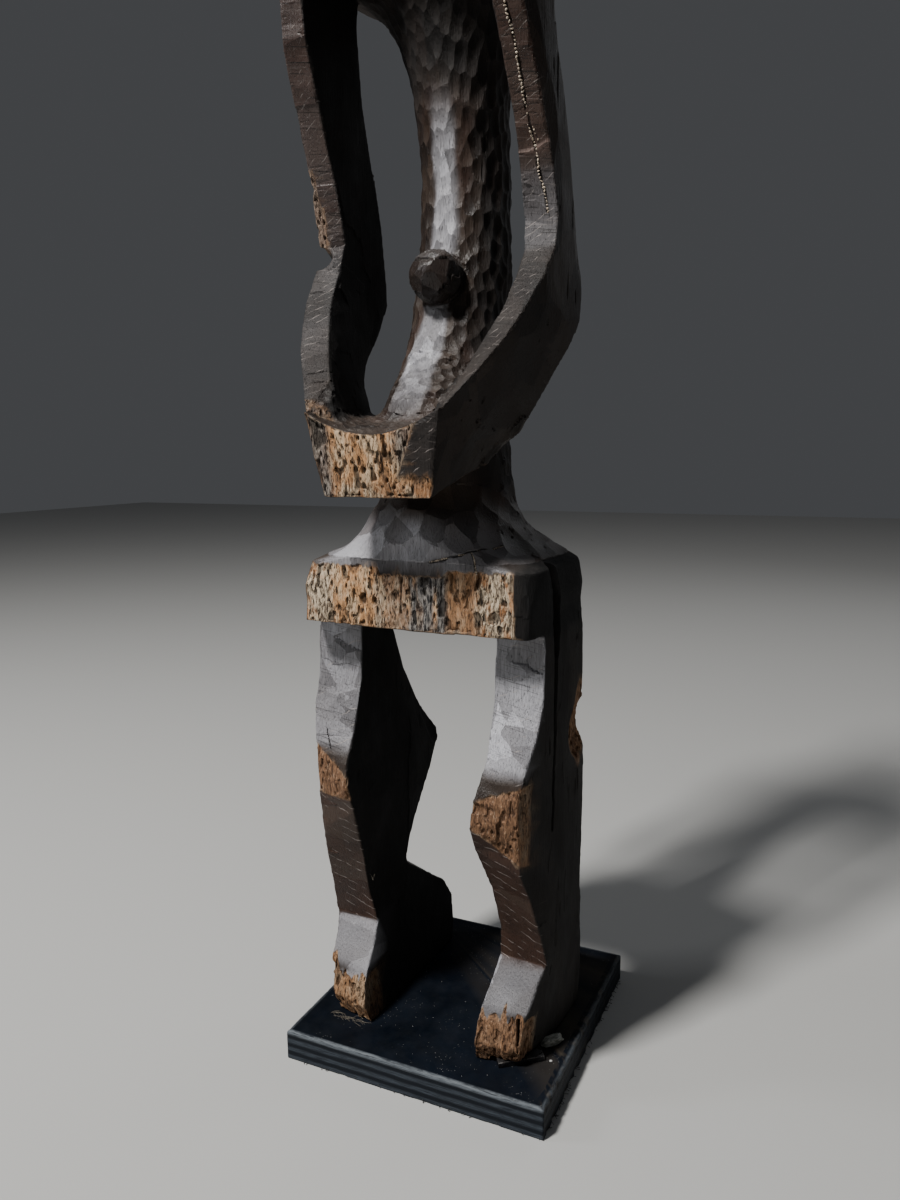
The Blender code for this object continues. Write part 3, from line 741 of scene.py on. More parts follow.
def rotten(place):
    """How far each point's surface has rotted to bare end grain, and how rusty, ashen or crumbly."""
    x, y, z = place.x, place.y, place.z
    ragged = noise(place.points, (2.2, 9, 26), 31) * 3.0 + noise(place.points, (7, 9, 40), 32) * 3.0
    # The hands' front: its left and lower part, less at the lower right
    hands = place.front * band(z, 405, 480, 2) * ramp(-y, 112, 118)
    lean = 1.6 * (z - 445) * 0.3
    left = ramp(-x, -26 - lean, -22 - lean)
    low = ramp(-(z + ragged), -434, -426)
    hands = hands * np.maximum(left, low) * (1 - 0.55 * ramp(x, 26, 34) * ramp(z, 440, 446))
    # The hips' front, below a ragged strip of skin and short of the left corner
    skin_edge = 366.5 - 5.0 * ramp(x, -26, -22) * fall(x, 26, 32) + ragged * 0.3
    hips = place.front * band(z, 318, 372, 1.5) * ramp(-y, 76, 80) * fall(z, skin_edge - 1, skin_edge + 1)
    hips = hips * fall(x + ragged * 0.5, 78.5, 80.5)
    knee_top = np.where(x > 0, 211 + (x - 60) * 0.35, 219 + (x + 70) * -0.55) + ragged * 0.4
    knee_low = np.where(x > 0, 186 - (x - 55) * 0.85, 190) + ragged * 0.25
    knee = place.leg * ramp(-place.normals[:, 1], 0.05, 0.4) * ramp(-y, 66, 72)
    knee = knee * fall(z, knee_top - 1, knee_top + 1) * ramp(z, knee_low - 1, knee_low + 1)
    spikes = np.abs(noise(place.points, (3.4, 30, 200), 33)) * 15 - 5
    toe_top = np.where(x > 0, 40, 37 + ramp(-x, 74, 84) * 14) + spikes
    toe = ramp(-y, 52, 60) * fall(z, toe_top - 0.7, toe_top + 0.7) * (1 - place.inner * 0.7)
    # The notch in the left thigh's outer side and the gap broken from the right arm's edge
    notch = fall(reach(place.points, (95, 16, 243), (14, 22, 38)), 0.75, 1.0)
    broken = ramp(-x, 82, 87) * band(z, 592, 640, 5) * ramp(-y, 34, 40)
    broken = broken * ramp(noise(place.points, (4, 6, 16), 34) + band(z, 590, 618, 6), 0.1, 0.4)
    rot = hands + hips + knee + toe + notch + broken

    rusty = np.maximum(knee, notch * 0.9) + np.where(x > 0, 0.9, 0.5) * toe + 0.8 * broken
    rusty = np.maximum(np.clip(rusty, 0, 1), hips * band(x, 30, 50, 3) * 0.6)
    ashen = np.maximum.reduce([
        hips * np.maximum(band(x, 1, 27, 4), 0.5 * band(x, -25, 1, 5)) * ramp(ragged, -3.5, -0.5),
        hands * ramp(x, 12, 22) * ramp(z, 432, 442) * 0.8, hands * fall(x, -36, -29) * 0.85, broken * 0.55])
    crumbly = hips * np.maximum(fall(x, -70, -60), ramp(x, 48, 54)) + hands * fall(z, 422, 432) * 0.7
    return [np.clip(value, 0, 1) for value in (rot, rusty, ashen, crumbly)]


def gnawed(place, rot):
    """The relief of rotten end grain: fibres standing up the surface, with pits between them."""
    move = np.zeros(len(rot))
    dark = np.zeros(len(rot))
    where = rot > 0.01
    points = place.points[where]
    bent = wandering(points, 2.0, (9, 9, 16), 45)
    fibres = noise(bent, (2.0, 2.6, 13), 41) * 0.5 + noise(bent, (4.5, 5, 34), 42) * 0.9
    pits = ramp(noise(bent, (2.2, 2.6, 5.5), 43), 0.22, 0.6)
    holes = ramp(noise(bent, (6, 6, 12), 44), 0.38, 0.7)
    hips = place.hips[where]
    recess = band(points[:, 0], 31, 47, 4) * hips * 2.2
    knots = [fall(np.hypot((points[:, 0] - x) / wide, (points[:, 2] - z) / high), 0.5, 1.0)
             for x, z, wide, high in ((-38, 343, 3.6, 5.5), (-28, 342, 2.6, 4.0))]
    knot = np.maximum(*knots) * hips
    depth = 0.7 + 0.9 * fibres + 1.4 * pits + 1.7 * holes + recess + 2.6 * knot
    move[where] = -rot[where] * depth
    # Painted shade in the pits, holes and knots
    dark[where] = rot[where] * np.clip(np.maximum(pits, holes * 0.9) + knot, 0, 1)
    return move, dark


def worked_blank(node):
    """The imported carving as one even, closed mesh."""
    blank = placed("blank", node.data.copy())
    welded = bmesh.new()
    welded.from_mesh(blank.data)
    bmesh.ops.remove_doubles(welded, verts=welded.verts, dist=SAME_POINT)
    welded.to_mesh(blank.data)
    welded.free()
    remesh = blank.modifiers.new("even", "REMESH")
    remesh.mode = "VOXEL"
    remesh.voxel_size = CARVING_GRAIN
    return applied(blank)


def refined(mesh, wanted):
    """The mesh with every face that touches a wanted point cut in four."""
    shape = bmesh.new()
    shape.from_mesh(mesh)
    shape.verts.ensure_lookup_table()
    edges = {edge for index in np.nonzero(wanted)[0] for edge in shape.verts[index].link_edges}
    bmesh.ops.subdivide_edges(shape, edges=list(edges), cuts=1, use_grid_fill=True)
    shape.to_mesh(mesh)
    shape.free()


def head_marks(place):
    """Cuts on the head: eyelids, lips, nostrils, ear hollows and notches along the crest."""
    x, y, z = place.x, place.y, place.z
    far = np.abs(x)
    facing = place.front * place.head
    across = far - 14
    eye_line = EYE_LEVEL + 0.8 - (across / 9.0) ** 2 * 1.5
    slit = np.exp(-((z - eye_line) / 0.9) ** 2) * band(far, 8.5, 19.5, 1.0) * facing
    round_eye = np.hypot(across / 1.9, z - EYE_LEVEL) - 4.6
    rim = np.exp(-(round_eye / 0.9) ** 2) * band(far, 3, 24, 1) * facing
    lips = np.exp(-((z - 914 - (far / 12) ** 2) / 0.8) ** 2) * fall(far, 9, 10.5) * facing
    groove = np.exp(-(x / 1.3) ** 2) * band(z, 917.5, 921.5, 1) * facing
    beside_nose = np.sign(x)[:, None] * np.array((3.6, 0, 0))
    nostril = reach(place.points - beside_nose, (0, -63, 925), (2.0, 3.4, 2.0))
    ear = reach(np.abs(place.points), (44, 4, 936), (9, 6.5, 15))
    ear = np.where(y < -10, 9, ear)
    height = z - SKULL_LEVEL
    back = y - SKULL_MIDDLE
    above = (np.hypot(back / 49, height / 52) > 0.86) & (z > np.where(y < 0, 972, 940))
    notches = np.abs(np.sin(np.arctan2(height, back) * 15))

    move = -(1.3 * slit + 0.8 * rim + 1.1 * lips + 0.4 * groove)
    move -= 1.2 * fall(nostril, 0.5, 1.1) * place.head
    move -= 2.2 * fall(ear, 0.55, 0.95) * place.outer * place.head
    move -= 1.1 * fall(notches, 0.10, 0.45) * ((far < 6.5) & above & place.head)
    return move


def even_carving(node):
    """The carving's own form, meshed finely and with its arrises eased, and its exact points."""
    mesh = worked_blank(node)
    place = Place(mesh)
    fine = (rotten(place)[0] > 0.05) | (place.head & (place.y < -30))
    for line, near in FINE_LINES:
        fine |= line_distance(place.points, line)[0] < near
    refined(mesh, fine)

    place = Place(mesh)
    edges = read_edges(mesh)
    ease = np.where(place.trunk & ~place.knob, 0.6, 0.18) * np.where(place.head, 0.6, 1.0)
    points = relax(place.points, edges, ease, 10)
    trough = band(np.abs(points[:, 0]), 0, 36, 8) * band(points[:, 1], -108, -52, 8)
    points = relax(points, edges, trough * band(points[:, 2], 456, 504, 6) * 0.9, 160)
    write_points(mesh, to_world(points))
    return mesh, points


def arm_relief(place, points, rot):
    """Close lines across the arms' fronts, deeper at the left elbow, and a raised ridge above it."""
    x, z = place.x, place.z
    arm_front = place.arm * place.front
    slanted = z - x * np.where(z < 585, 0.6, 0.12)
    ripple = np.abs(np.sin((slanted + noise(points, (9, 9, 30), 51) * 2.0) * math.pi / 4.2))
    lines = arm_front * ramp(noise(points, (30, 30, 22), 52), -0.3, 0.2) * (1 - rot)
    elbow = band(z, 572, 640, 8) * (x > 0)
    move = -lines * fall(ripple, 0.0, 0.4) * (0.30 + 0.45 * elbow) * place.flat
    from_ridge = z - 634 - (x - 80) * 0.1 + 2.2 * noise(points, (7, 7, 7), 53)
    ridge = arm_front * (x > 0) * np.exp(-(from_ridge / 1.1) ** 2)
    return move + ridge * 0.7, ridge


def crack_relief(place, points, rot):
    """How far the cracks and the fine slits of the sides sink, and the painted shade that darkens them."""
    move = np.zeros(len(points))
    painted_hollow_shade = np.zeros(len(points))
    bent = wandering(points, 0.9, (5, 5, 7), 61)
    for line, width, sink in OPEN_CRACKS:
        gap, along = line_distance(bent, line)
        taper = 1.0
        if line is SIDE_CRACK:
            taper = 1.0 - 0.5 * ramp(along, 40, 75) - 0.28 * ramp(along, 90, 190)
        inside = fall(gap, width * taper * 0.75, width * taper * 1.1)
        move -= inside * sink
        painted_hollow_shade = np.maximum(painted_hollow_shade, inside)
    bent = wandering(points, *CHIP_WANDER)
    for line in (ARM_CRACK, HIP_CRACK):
        inside = fall(line_distance(bent, line)[0], CHIPPED_WIDTH * 0.6, CHIPPED_WIDTH * 1.5)
        move -= inside * 0.9
        painted_hollow_shade = np.maximum(painted_hollow_shade, inside * 0.9)
    slits = ramp(noise(points, (1.8, 2.4, 22), 71), 0.60, 0.78)
    slits = slits * ramp(noise(points, (20, 20, 40), 72), 0.0, 0.4)
    slits = slits * place.outer * (1 - rot) * np.where(place.head, 0.0, 1.0)
    return move - slits * 0.9, np.maximum(painted_hollow_shade, slits * 0.8)


def worn_tones(place, points, rot):
    """Painted sheen and painted shade, and where the wood is reddish or lined, one number for every point.
    """
    x, y, z = place.x, place.y, place.z
    skin = 1 - rot
    left = x > 0
    leg_front = place.leg * place.front
    arm_front = place.arm * place.front
    # Painted sheen where the light falls: thigh and foot fronts, a streak down the torso, the elbow band
    # and the hip top
    thigh = leg_front * ramp(z, 222, 232) * np.where(left, 1.0, 0.62)
    shin = leg_front * band(z, FOOT_TOP, 190, 6)
    foot_top = ramp(place.normals[:, 2], 0.1, 0.4) * (z < 78) * (z > 20) * (y < -30)
    widen = ramp(-z, -545, -500) * 9
    across = x + noise(points, (14, 14, 26), 81) * 4
    streak = place.trunk * place.front * band(across, -7 - widen, 5, 6) * band(z, 505, 655, 45)
    streak = streak * (1 - place.knob_top)
    arm_painted_sheen = np.where(left, 0.02 + 0.24 * band(z, 580, 618, 8), 0.08) * arm_front
    hip_top = place.trunk * ramp(-y, 40, 66) * fall(z, 388, 408) * (1 - 0.6 * ramp(x, 12, 30))
    hip_skin = place.front * place.hips * ramp(z, 362, 365) * 0.4 * fall(x, 76, 79)
    painted_sheen = np.maximum.reduce([thigh, foot_top * np.where(left, 0.78, 0.60), streak * 0.78,
                               arm_painted_sheen * 0.7, hip_top * 0.8, hip_skin])
    painted_sheen = painted_sheen * (0.85 + 0.25 * noise(points, (16, 16, 22), 82))

    red = shin * 0.9 + arm_front * ramp(z, 560, 640) * 0.8
    red = red + 0.45 * place.trunk * ramp(noise(points, (12, 12, 30), 83), 0.0, 0.5) * (1 - streak)
    # Painted shade: outer and inner faces, the trunk under the chest and on its far side, the lower arms
    # and the hip's end
    low = place.leg | place.hips
    outward = place.outer * (low | (place.arm & (place.front < 0.5))) * np.where(low, 0.8, 0.45)
    inward = place.inner * (place.leg | place.arm)
    painted_trunk_shade = place.trunk * ramp(z + np.abs(x) * 1.1, 680, 725) * fall(z, 800, 850)
    painted_trunk_shade = np.maximum(0.75 * painted_trunk_shade, 0.7 * place.side_of_trunk * band(z, 425, 735, 20))
    low_arm = arm_front * fall(z - 40 * left, 575, 605)
    hip_corner = place.hips * ramp(x, 78.5, 80.5)
    shaded = np.clip(outward + 0.95 * inward + painted_trunk_shade + 0.55 * low_arm + 0.9 * hip_corner, 0, 1)
    return {"painted_sheen": np.clip(painted_sheen, 0, 1) * skin, "red": np.clip(red, 0, 1), "shin": shin * skin,
            "shaded": shaded * skin, "arm_front": arm_front * skin, "thigh": leg_front * (z > 222) * skin,
            "calm": place.upward * (place.foot | (place.trunk & (z < 400))), "polish": place.knob_top}


def carving(node, material):
    """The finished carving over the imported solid."""
    mesh, points = even_carving(node)
    place = Place(mesh)
    rot, rusty, ashen, crumbly = rotten(place)
    move = np.zeros(len(points))
    mark = np.zeros(len(points))
    for number, marks in enumerate(facet_plan(place)):
        moves, tints = cut_marks(place, *marks, 100 + 7 * number)
        move += moves
        mark += tints
    eaten, hollows = gnawed(place, rot)
    move = move * (1.0 - 0.8 * rot) + eaten + head_marks(place)
    arms, ridge = arm_relief(place, points, rot)
    cracks, painted_hollow_shade = crack_relief(place, points, rot)
    move += arms + cracks
    painted_hollow_shade = np.maximum(painted_hollow_shade, hollows * 0.8 * (1 - 0.65 * rusty))
    write_points(mesh, to_world(points + place.normals * move[:, None]))

    values = {"rot": rot, "rust": rusty, "ash": ashen, "crumbs": crumbly, "painted_hollow_shade": painted_hollow_shade, "ridge": ridge}
    values.update(worn_tones(place, points, rot))
    for name, value in values.items():
        keep_value(mesh, name, value)
    worked = read_points(mesh)

    rough = placed("rough_carving", mesh)
    mesh.calc_loop_triangles()
    thin = rough.modifiers.new("thin", "DECIMATE")
    thin.ratio = min(1.0, CARVING_TRIANGLES / len(mesh.loop_triangles))
    mesh = applied(rough)
    thinned = bmesh.new()
    thinned.from_mesh(mesh)
    bmesh.ops.dissolve_degenerate(thinned, dist=SHORTEST_EDGE, edges=thinned.edges)
    thinned.to_mesh(mesh)
    thinned.free()
    shade_smooth(mesh)
    mesh.set_sharp_from_angle(angle=RIDGE_ANGLE)
    tint_faces(mesh, worked, mark)
    return new_piece("carving", mesh, material, "figure")


def tint_faces(mesh, worked, mark):
    """Give each face the tint of the tool mark it lies in."""
    tree = KDTree(len(worked))
    for index, spot in enumerate(worked):
        tree.insert(spot, index)
    tree.balance()
    nearest = [tree.find(spot)[1] for spot in read(mesh.polygons, "center", 3)]
    layer = mesh.attributes.new("mark", "FLOAT", "FACE")
    layer.data.foreach_set("value", mark[nearest].astype(np.float32))


# The board


BOARD_HALF = 0.106
BOARD_STEP = 0.002


def board_outline():
    """Points round the board, anticlockwise from its front right corner, with their facing."""
    steps = round(2 * BOARD_HALF / BOARD_STEP)
    run = [-BOARD_HALF + 2 * BOARD_HALF * step / steps for step in range(steps)]
    points = [(value, -BOARD_HALF, 0, -1) for value in run]
    points += [(BOARD_HALF, value, 1, 0) for value in run]
    points += [(-value, BOARD_HALF, 0, 1) for value in run]
    points += [(-BOARD_HALF, -value, -1, 0) for value in run]
    return points


def board(material):
    """The painted board, with worn rims, a painted highlight along the front rim, and a chipped left edge.
    """
    outline = np.array(board_outline())
    chipped = ramp(outline[:, 2], 0.5, 1.0)
    # Height and how far in from the edge, from the underside up and over the rim
    section = [(0.0, 0.0016), (0.0, 0.0006), (0.0005, 0.0001), (0.0014, 0.0)]
    section += [(0.0014 + 0.0207 * step / 11, 0.0) for step in range(1, 12)]
    section += [(0.0229, 0.0001), (0.0237, 0.0006), (0.024, 0.0015), (0.024, 0.0035), (0.024, 0.0065)]
    shape = bmesh.new()
    wear_and_glint_layer = shape.verts.layers.float.new("wear_and_painted_glint")
    raw_layer = shape.verts.layers.float.new("raw")
    rows = []
    for height, inset in section:
        spots = np.column_stack([outline[:, 0], outline[:, 1], np.full(len(outline), height)])
        spots[:, :2] *= (BOARD_HALF - inset) / BOARD_HALF
        lumps = spots / MM
        bite = ramp(noise(lumps, (5, 5, 7), 91), 0.15, 0.65) * 1.5
        bite = bite + ramp(noise(lumps, (2.4, 2.4, 3), 92), 0.1, 0.6) * 0.7
        rim = np.clip(1 - min(abs(height - BOARD_TOP), abs(height)) / 0.006, 0, 1)
        amount = bite * (0.25 + 0.75 * rim) * chipped
        rest = ramp(noise(lumps, (8, 8, 4), 93), 0.45, 0.8) * 0.5 * rim * (1 - chipped)
        ply = noise(lumps, (40, 40, 1.7), 94) * 0.14
        inward = (amount + rest + 0.14 + ply) * MM if inset < 0.003 else amount * 0.2 * MM
        spots[:, 0] -= outline[:, 2] * inward
        spots[:, 1] -= outline[:, 3] * inward
        top_rim = height > 0.022 and inset < 0.003
        row = []
        for spot, chip, facing in zip(spots, amount, outline[:, 3]):
            corner = shape.verts.new(spot)
            # The front rim is paler than the others: wear and a painted highlight
            corner[wear_and_glint_layer] = (0.75 if facing < 0 else 0.35) if top_rim else 0.0
            corner[raw_layer] = min(0.5, chip * 0.35)
            row.append(corner)
        rows.append(row)
    count = len(outline)
    for lower, upper in zip(rows, rows[1:]):
        for side in range(count):
            after = (side + 1) % count
            shape.faces.new((lower[side], lower[after], upper[after], upper[side]))
    shape.faces.new(list(reversed(rows[0])))
    shape.faces.new(rows[-1])
    mesh = mesh_from(shape, "board")
    shade_smooth(mesh)
    mesh.polygons[-1].use_smooth = False
    mesh.polygons[-2].use_smooth = False
    return new_piece("board", mesh, material, "base_board")


# A face smaller than this, in square metres, belongs to the shim's rounded edge
SHIM_EDGE_FACE = 1.2e-5


def shim_piece(node, material):
    """The black packing with softened, glinting edges."""
    shape = bmesh.new()
    shape.from_mesh(node.data)
    bmesh.ops.remove_doubles(shape, verts=shape.verts, dist=SAME_POINT)
    bmesh.ops.dissolve_limit(shape, angle_limit=0.01, verts=shape.verts, edges=shape.edges)
    bmesh.ops.bevel(shape, geom=shape.edges[:], offset=0.0005, segments=3, affect="EDGES", profile=0.5)
    mesh = mesh_from(shape, "shim")
    shade_smooth(mesh)
    # The rounded edges are marked for scuffs and a painted glint
    wear_and_painted_glint = mesh.attributes.new("wear_and_painted_glint", "FLOAT", "FACE")
    wear_and_painted_glint.data.foreach_set("value", [1.0 if face.area < SHIM_EDGE_FACE else 0.0 for face in mesh.polygons])
    return new_piece("shim", mesh, material, "foot_shim")


# What repeats, laid out with Geometry Nodes


def repeat_tree(name, inputs):
    """An empty Geometry Nodes tree with a geometry input, named number inputs and an output."""
    tree = bpy.data.node_groups.new(name, "GeometryNodeTree")
    tree.interface.new_socket("Geometry", in_out="INPUT", socket_type="NodeSocketGeometry")
    for label, kind, value in inputs:
        socket = tree.interface.new_socket(label, in_out="INPUT", socket_type="NodeSocket" + kind)
        if value is not None:
            socket.default_value = value
    tree.interface.new_socket("Geometry", in_out="OUTPUT", socket_type="NodeSocketGeometry")
    graph = Graph(tree)
    return tree, graph, tree.nodes.new("NodeGroupInput").outputs, tree.nodes.new("NodeGroupOutput")


def random_vector(graph, low, high, seed):
    """A vector of its own for each point, between two corners."""
    node = graph.add("FunctionNodeRandomValue", {"data_type": "FLOAT_VECTOR"})
    for key, value in (("0", low), ("1", high), ("8", seed)):
        graph.feed(node, key, value)
    return node.outputs[0]


def bits_on(graph, points, given, detail, turn, smallest, largest):
    """A small ball on each point, turned and stretched on its own."""
    bit = graph.add("GeometryNodeMeshIcoSphere", Radius=given["Size"], Subdivisions=detail)
    turns = random_vector(graph, (0.0, 0.0, 0.0), turn, given["Seed"])
    sizes = random_vector(graph, smallest, largest, given["Seed"])
    return graph.add("GeometryNodeInstanceOnPoints", Points=points, Instance=bit.outputs[0],
                     Rotation=turns, Scale=sizes).outputs[0]


def close_tree(graph, shapes, given, end):
    """Make a tree's shapes real, with their material, and hand them out."""
    real = graph.add("GeometryNodeRealizeInstances", Geometry=shapes)
    done = graph.add("GeometryNodeSetMaterial", Geometry=real.outputs[0], Material=given["Material"])
    graph.feed(end, "0", done.outputs[0])


def chips_tree():
    """Small uneven chips along a line: gap between them, their size, and a seed."""
    tree, graph, given, end = repeat_tree("chips along a line", (
        ("Gap", "Float", 0.002), ("Size", "Float", 0.0008), ("Seed", "Int", 1),
        ("Material", "Material", None)))
    path = graph.add("GeometryNodeResampleCurve", {"mode": "LENGTH"}, Curve=given["Geometry"],
                     Length=given["Gap"]).outputs[0]
    chips = bits_on(graph, path, given, 2, (6.2, 6.2, 6.2), (0.35, 0.35, 0.5), (1.0, 0.8, 1.5))
    close_tree(graph, chips, given, end)
    return tree


def specks_tree():
    """Flat specks strewn over a surface: how many, their size, and a seed."""
    tree, graph, given, end = repeat_tree("strewn specks", (
        ("Density", "Float", 9000.0), ("Size", "Float", 0.0003), ("Seed", "Int", 1),
        ("Material", "Material", None)))
    strewn = graph.add("GeometryNodeDistributePointsOnFaces", Mesh=given["Geometry"],
                       Density=given["Density"], Seed=given["Seed"]).outputs["Points"]
    specks = bits_on(graph, strewn, given, 1, (0.3, 0.3, 6.2), (0.3, 0.3, 0.3), (1.5, 0.9, 0.7))
    close_tree(graph, specks, given, end)
    return tree


def strands_tree():
    """Round strands along curves: their radius."""
    tree, graph, given, end = repeat_tree("round strands", (
        ("Radius", "Float", 0.00012), ("Material", "Material", None)))
    circle = graph.add("GeometryNodeCurvePrimitiveCircle", Resolution=6, Radius=given["Radius"])
    tube = graph.add("GeometryNodeCurveToMesh", Curve=given["Geometry"],
                     Profile_Curve=circle.outputs[0], Fill_Caps=True)
    close_tree(graph, tube.outputs[0], given, end)
    return tree


def run_tree(name, thing, tree, material, slot, **values):
    """Put a tree on an object, set its inputs, and keep the result as a plain mesh piece."""
    values["Material"] = material
    modifier = thing.modifiers.new("repeat", "NODES")
    modifier.node_group = tree
    for item in tree.interface.items_tree:
        if item.item_type == "SOCKET" and item.in_out == "INPUT" and item.name in values:
            modifier[item.identifier] = values[item.name]
    mesh = applied(thing)
    shade_smooth(mesh)
    return new_piece(name, mesh, material)


def curves_object(name, lines):
    """Curves through lists of carving coordinates."""
    curve = bpy.data.curves.new(name, "CURVE")
    curve.dimensions = "3D"
    for points in lines:
        spline = curve.splines.new("POLY")
        spline.points.add(len(points) - 1)
        for target, spot in zip(spline.points, to_world(points)):
            target.co = (*spot, 1.0)
    return placed(name, curve)


def arc(start, end, bend, lift, count=9):
    """Points along a bowed strand between two places."""
    start = np.array(start, dtype=float)
    end = np.array(end, dtype=float)
    run = end - start
    aside = np.array((-run[1], run[0], 0.0)) * bend
    steps = np.linspace(0.0, 1.0, count)
    bow = np.sin(steps * math.pi)
    raised = np.array((0, 0, lift))
    return [start + run * step + aside * rise + raised * rise for step, rise in zip(steps, bow)]


def straw(seed):
    """Fibres lying on the board round the front of the right toe, and one curled at its ankle."""
    rng = random.Random(seed)
    lines = []
    for _ in range(26):
        x = rng.uniform(-83, -54)
        y = rng.uniform(-80, -74)
        length = rng.uniform(4, 11)
        turn = rng.gauss(0.0, 0.5)
        end = (x + length * math.cos(turn), y + length * math.sin(turn) * 0.5, rng.uniform(0.1, 0.9))
        lines.append(arc((x, y, 0.1), end, rng.uniform(-0.3, 0.3), rng.uniform(0.1, 1.2)))
    lines.append(arc((-57.5, -58, 118), (-52.5, -56.5, 112), 0.55, 0.0))
    lines.append(arc((-52.5, -56.5, 112), (-51.5, -55.5, 117), -0.35, 0.0))
    return curves_object("straw", lines)


def splinters(seed):
    """Short frayed splinters that stand out under the board's front and left rims."""
    rng = random.Random(seed)
    lines = []
    for number in range(70):
        along = rng.uniform(-100, 102)
        out = rng.uniform(0.8, 3.4)
        drift = rng.uniform(-3.0, 3.0)
        start = rng.uniform(0.8, 3.0)
        drop = rng.uniform(0.2, start)
        inner = BOARD_HALF / MM - 0.6
        if number % 3:
            first, last = (inner, along, start), (inner + out, along + drift, drop)
        else:
            first, last = (along, -inner, start), (along + drift, -inner - out * 0.6, drop)
        lines.append([to_carving(np.array(spot) * MM) for spot in (first, last)])
    return curves_object("splinters", lines)


def lump(name, middle, sizes, turn, rough, square, seed, material):
    """A small uneven blob on the board, in carving coordinates; square from 0 round to 1 block."""
    shape = bmesh.new()
    bmesh.ops.create_icosphere(shape, subdivisions=4, radius=1.0)
    spots = np.array([corner.co for corner in shape.verts])
    push = 1.0 + rough * noise(spots, (0.7, 0.7, 0.7), seed)
    push = push + rough * 0.5 * noise(spots, (0.3, 0.3, 0.3), seed + 1)
    push = push / np.abs(spots).max(axis=1) ** square
    spots = spots * push[:, None] * np.array(sizes)
    spots[:, 2] = np.maximum(spots[:, 2], -sizes[2] * 0.45)
    cosine, sine = math.cos(turn), math.sin(turn)
    spots[:, :2] = spots[:, :2] @ np.array(((cosine, sine), (-sine, cosine)))
    for corner, spot in zip(shape.verts, to_world(spots + np.array(middle))):
        corner.co = spot
    mesh = mesh_from(shape, name)
    shade_smooth(mesh)
    return new_piece(name, mesh, material)


def sheet(name, half, height):
    """A level square sheet."""
    mesh = bpy.data.meshes.new(name)
    corners = ((-half, -half), (half, -half), (half, half), (-half, half))
    mesh.from_pydata([(x, y, height) for x, y in corners], [], [(0, 1, 2, 3)])
    return placed(name, mesh)


def dense(line, step):
    """A line with a point every step."""
    line = np.array(line, dtype=float)
    spots = []
    for first, second in zip(line, line[1:]):
        count = max(1, round(np.linalg.norm(second - first) / step))
        spots += [first + (second - first) * part / count for part in range(count)]
    return spots + [line[-1]]


# Floor, light and camera


FLOOR_HALF = 6.0
CAMERA_PLACE = (0.28222, -0.63313, 0.47230)
CAMERA_YAW = math.radians(24.837)
CAMERA_PITCH = math.radians(9.477)
CAMERA_ROLL = math.radians(-0.487)
CAMERA_LENS = 27.02


def floor():
    """A plain pale floor."""
    thing = sheet("floor", FLOOR_HALF, 0.0)
    material, graph, shader, _ = new_material("pale floor")
    graph.feed(shader, "Base Color", (0.44, 0.44, 0.43))
    graph.feed(shader, "Roughness", 0.85)
    thing.data.materials.append(material)


def lamp(name, size, power, place, target, colour=(1.0, 1.0, 1.0)):
    """A square soft light aimed at a point."""
    light = bpy.data.lights.new(name, "AREA")
    light.size = size
    light.energy = power
    light.color = colour
    thing = placed(name, light)
    thing.location = place
    thing.rotation_euler = (Vector(target) - Vector(place)).to_track_quat("-Z", "Y").to_euler()


def lights():
    """Soft studio light from the upper left, with a weaker fill."""
    lamp("key", 0.34, 125, (-0.62, -1.42, 2.62), (0.0, -0.02, 0.40), (1.0, 0.98, 0.95))
    lamp("side", 0.5, 14, (-2.15, -1.05, 1.50), (0.0, -0.02, 0.40), (0.95, 0.97, 1.0))
    lamp("rim", 1.2, 5, (0.9, 2.1, 1.7), (0.0, 0.0, 0.5), (0.95, 0.97, 1.0))
    world = bpy.data.worlds.new("studio")
    bpy.context.scene.world = world
    world.use_nodes = True
    background = world.node_tree.nodes["Background"]
    background.inputs["Color"].default_value = (0.80, 0.83, 0.88, 1)
    background.inputs["Strength"].default_value = 0.075


def camera():
    """The camera at the photograph's viewing angle."""
    data = bpy.data.cameras.new("camera")
    data.lens = CAMERA_LENS
    thing = placed("camera", data)
    turn = (Matrix.Rotation(CAMERA_YAW, 4, "Z") @ Matrix.Rotation(math.pi / 2 - CAMERA_PITCH, 4, "X")
            @ Matrix.Rotation(CAMERA_ROLL, 4, "Z"))
    thing.matrix_world = Matrix.Translation(CAMERA_PLACE) @ turn
    bpy.context.scene.camera = thing


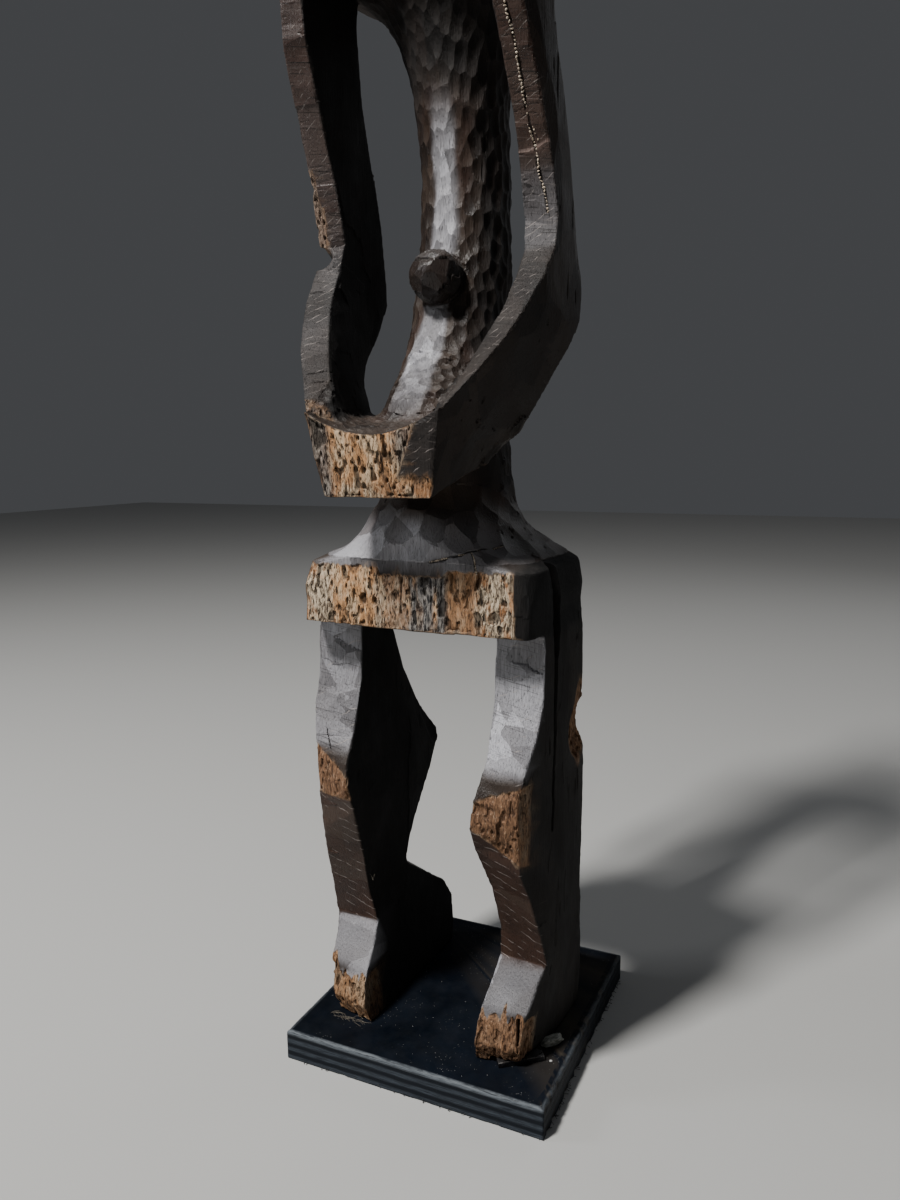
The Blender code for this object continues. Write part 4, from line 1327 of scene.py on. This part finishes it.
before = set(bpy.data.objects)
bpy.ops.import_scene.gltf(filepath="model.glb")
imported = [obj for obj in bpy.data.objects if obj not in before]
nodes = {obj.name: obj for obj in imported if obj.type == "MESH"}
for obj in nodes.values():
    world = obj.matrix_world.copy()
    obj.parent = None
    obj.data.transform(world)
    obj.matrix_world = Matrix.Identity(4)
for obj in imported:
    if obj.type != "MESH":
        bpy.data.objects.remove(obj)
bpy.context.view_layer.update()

grain_group = wood_grain_group()
dust = dust_group()
carving(nodes["figure"], carved_wood(grain_group, dust, blade_lines_group()))
board(painted_plywood(dust))
shim_piece(nodes["foot_shim"], black_shim_finish(dust))

chip_finish = trace_finish("pale chips", (0.62, 0.55, 0.45), (0.30, 0.22, 0.15), 0.8, 900.0)
chips = chips_tree()
second_row = [spot + np.array((2.6, 0.8, 0.0)) for spot in dense(ARM_CRACK[4:8], CHIP_STEP)]
arm_rows = [wandering(np.array(line), *CHIP_WANDER) for line in (dense(ARM_CRACK, CHIP_STEP), second_row)]
run_tree("arm_crack_chips", curves_object("arm_line", arm_rows), chips, chip_finish, "carved_wood",
         Gap=0.0021, Size=0.00095, Seed=3)
hip_rows = [wandering(np.array(dense(line, CHIP_STEP)), *CHIP_WANDER) for line in (HIP_CRACK, HIP_BRANCH)]
run_tree("hip_crack_chips", curves_object("hip_line", hip_rows), chips, chip_finish, "carved_wood",
         Gap=0.0016, Size=0.00078, Seed=5)

speck_finish = trace_finish("pale dust", (0.66, 0.66, 0.64), (0.35, 0.34, 0.32), 0.85, 1500.0)
run_tree("board_specks", sheet("board_patch", BOARD_HALF - 0.006, BOARD_TOP), specks_tree(), speck_finish,
         "black_paint", Density=5200.0, Size=0.00024, Seed=11)
strands = strands_tree()
straw_finish = trace_finish("dry straw", (0.24, 0.21, 0.165), (0.09, 0.075, 0.058), 0.8, 700.0)
run_tree("straw_fibres", straw(21), strands, straw_finish, "carved_wood", Radius=0.00009)
splinter_finish = trace_finish("painted splinters", (0.03, 0.032, 0.036), (0.012, 0.012, 0.014), 0.8, 600.0)
run_tree("edge_splinters", splinters(41), strands, splinter_finish, "black_paint", Radius=0.00022)
glue_finish = trace_finish("old glue", (0.36, 0.37, 0.33), (0.12, 0.12, 0.10), 0.45, 260.0)
lump("glue_blob", (90.5, -31.5, 1.8), (9.5, 3.4, 3.4), 0.95, 0.22, 0.6, 31, glue_finish)
lump("pale_crumb", (97.5, -51.6, 0.4), (1.1, 0.9, 0.8), 0.3, 0.25, 0.0, 33, speck_finish)

floor()
lights()
camera()
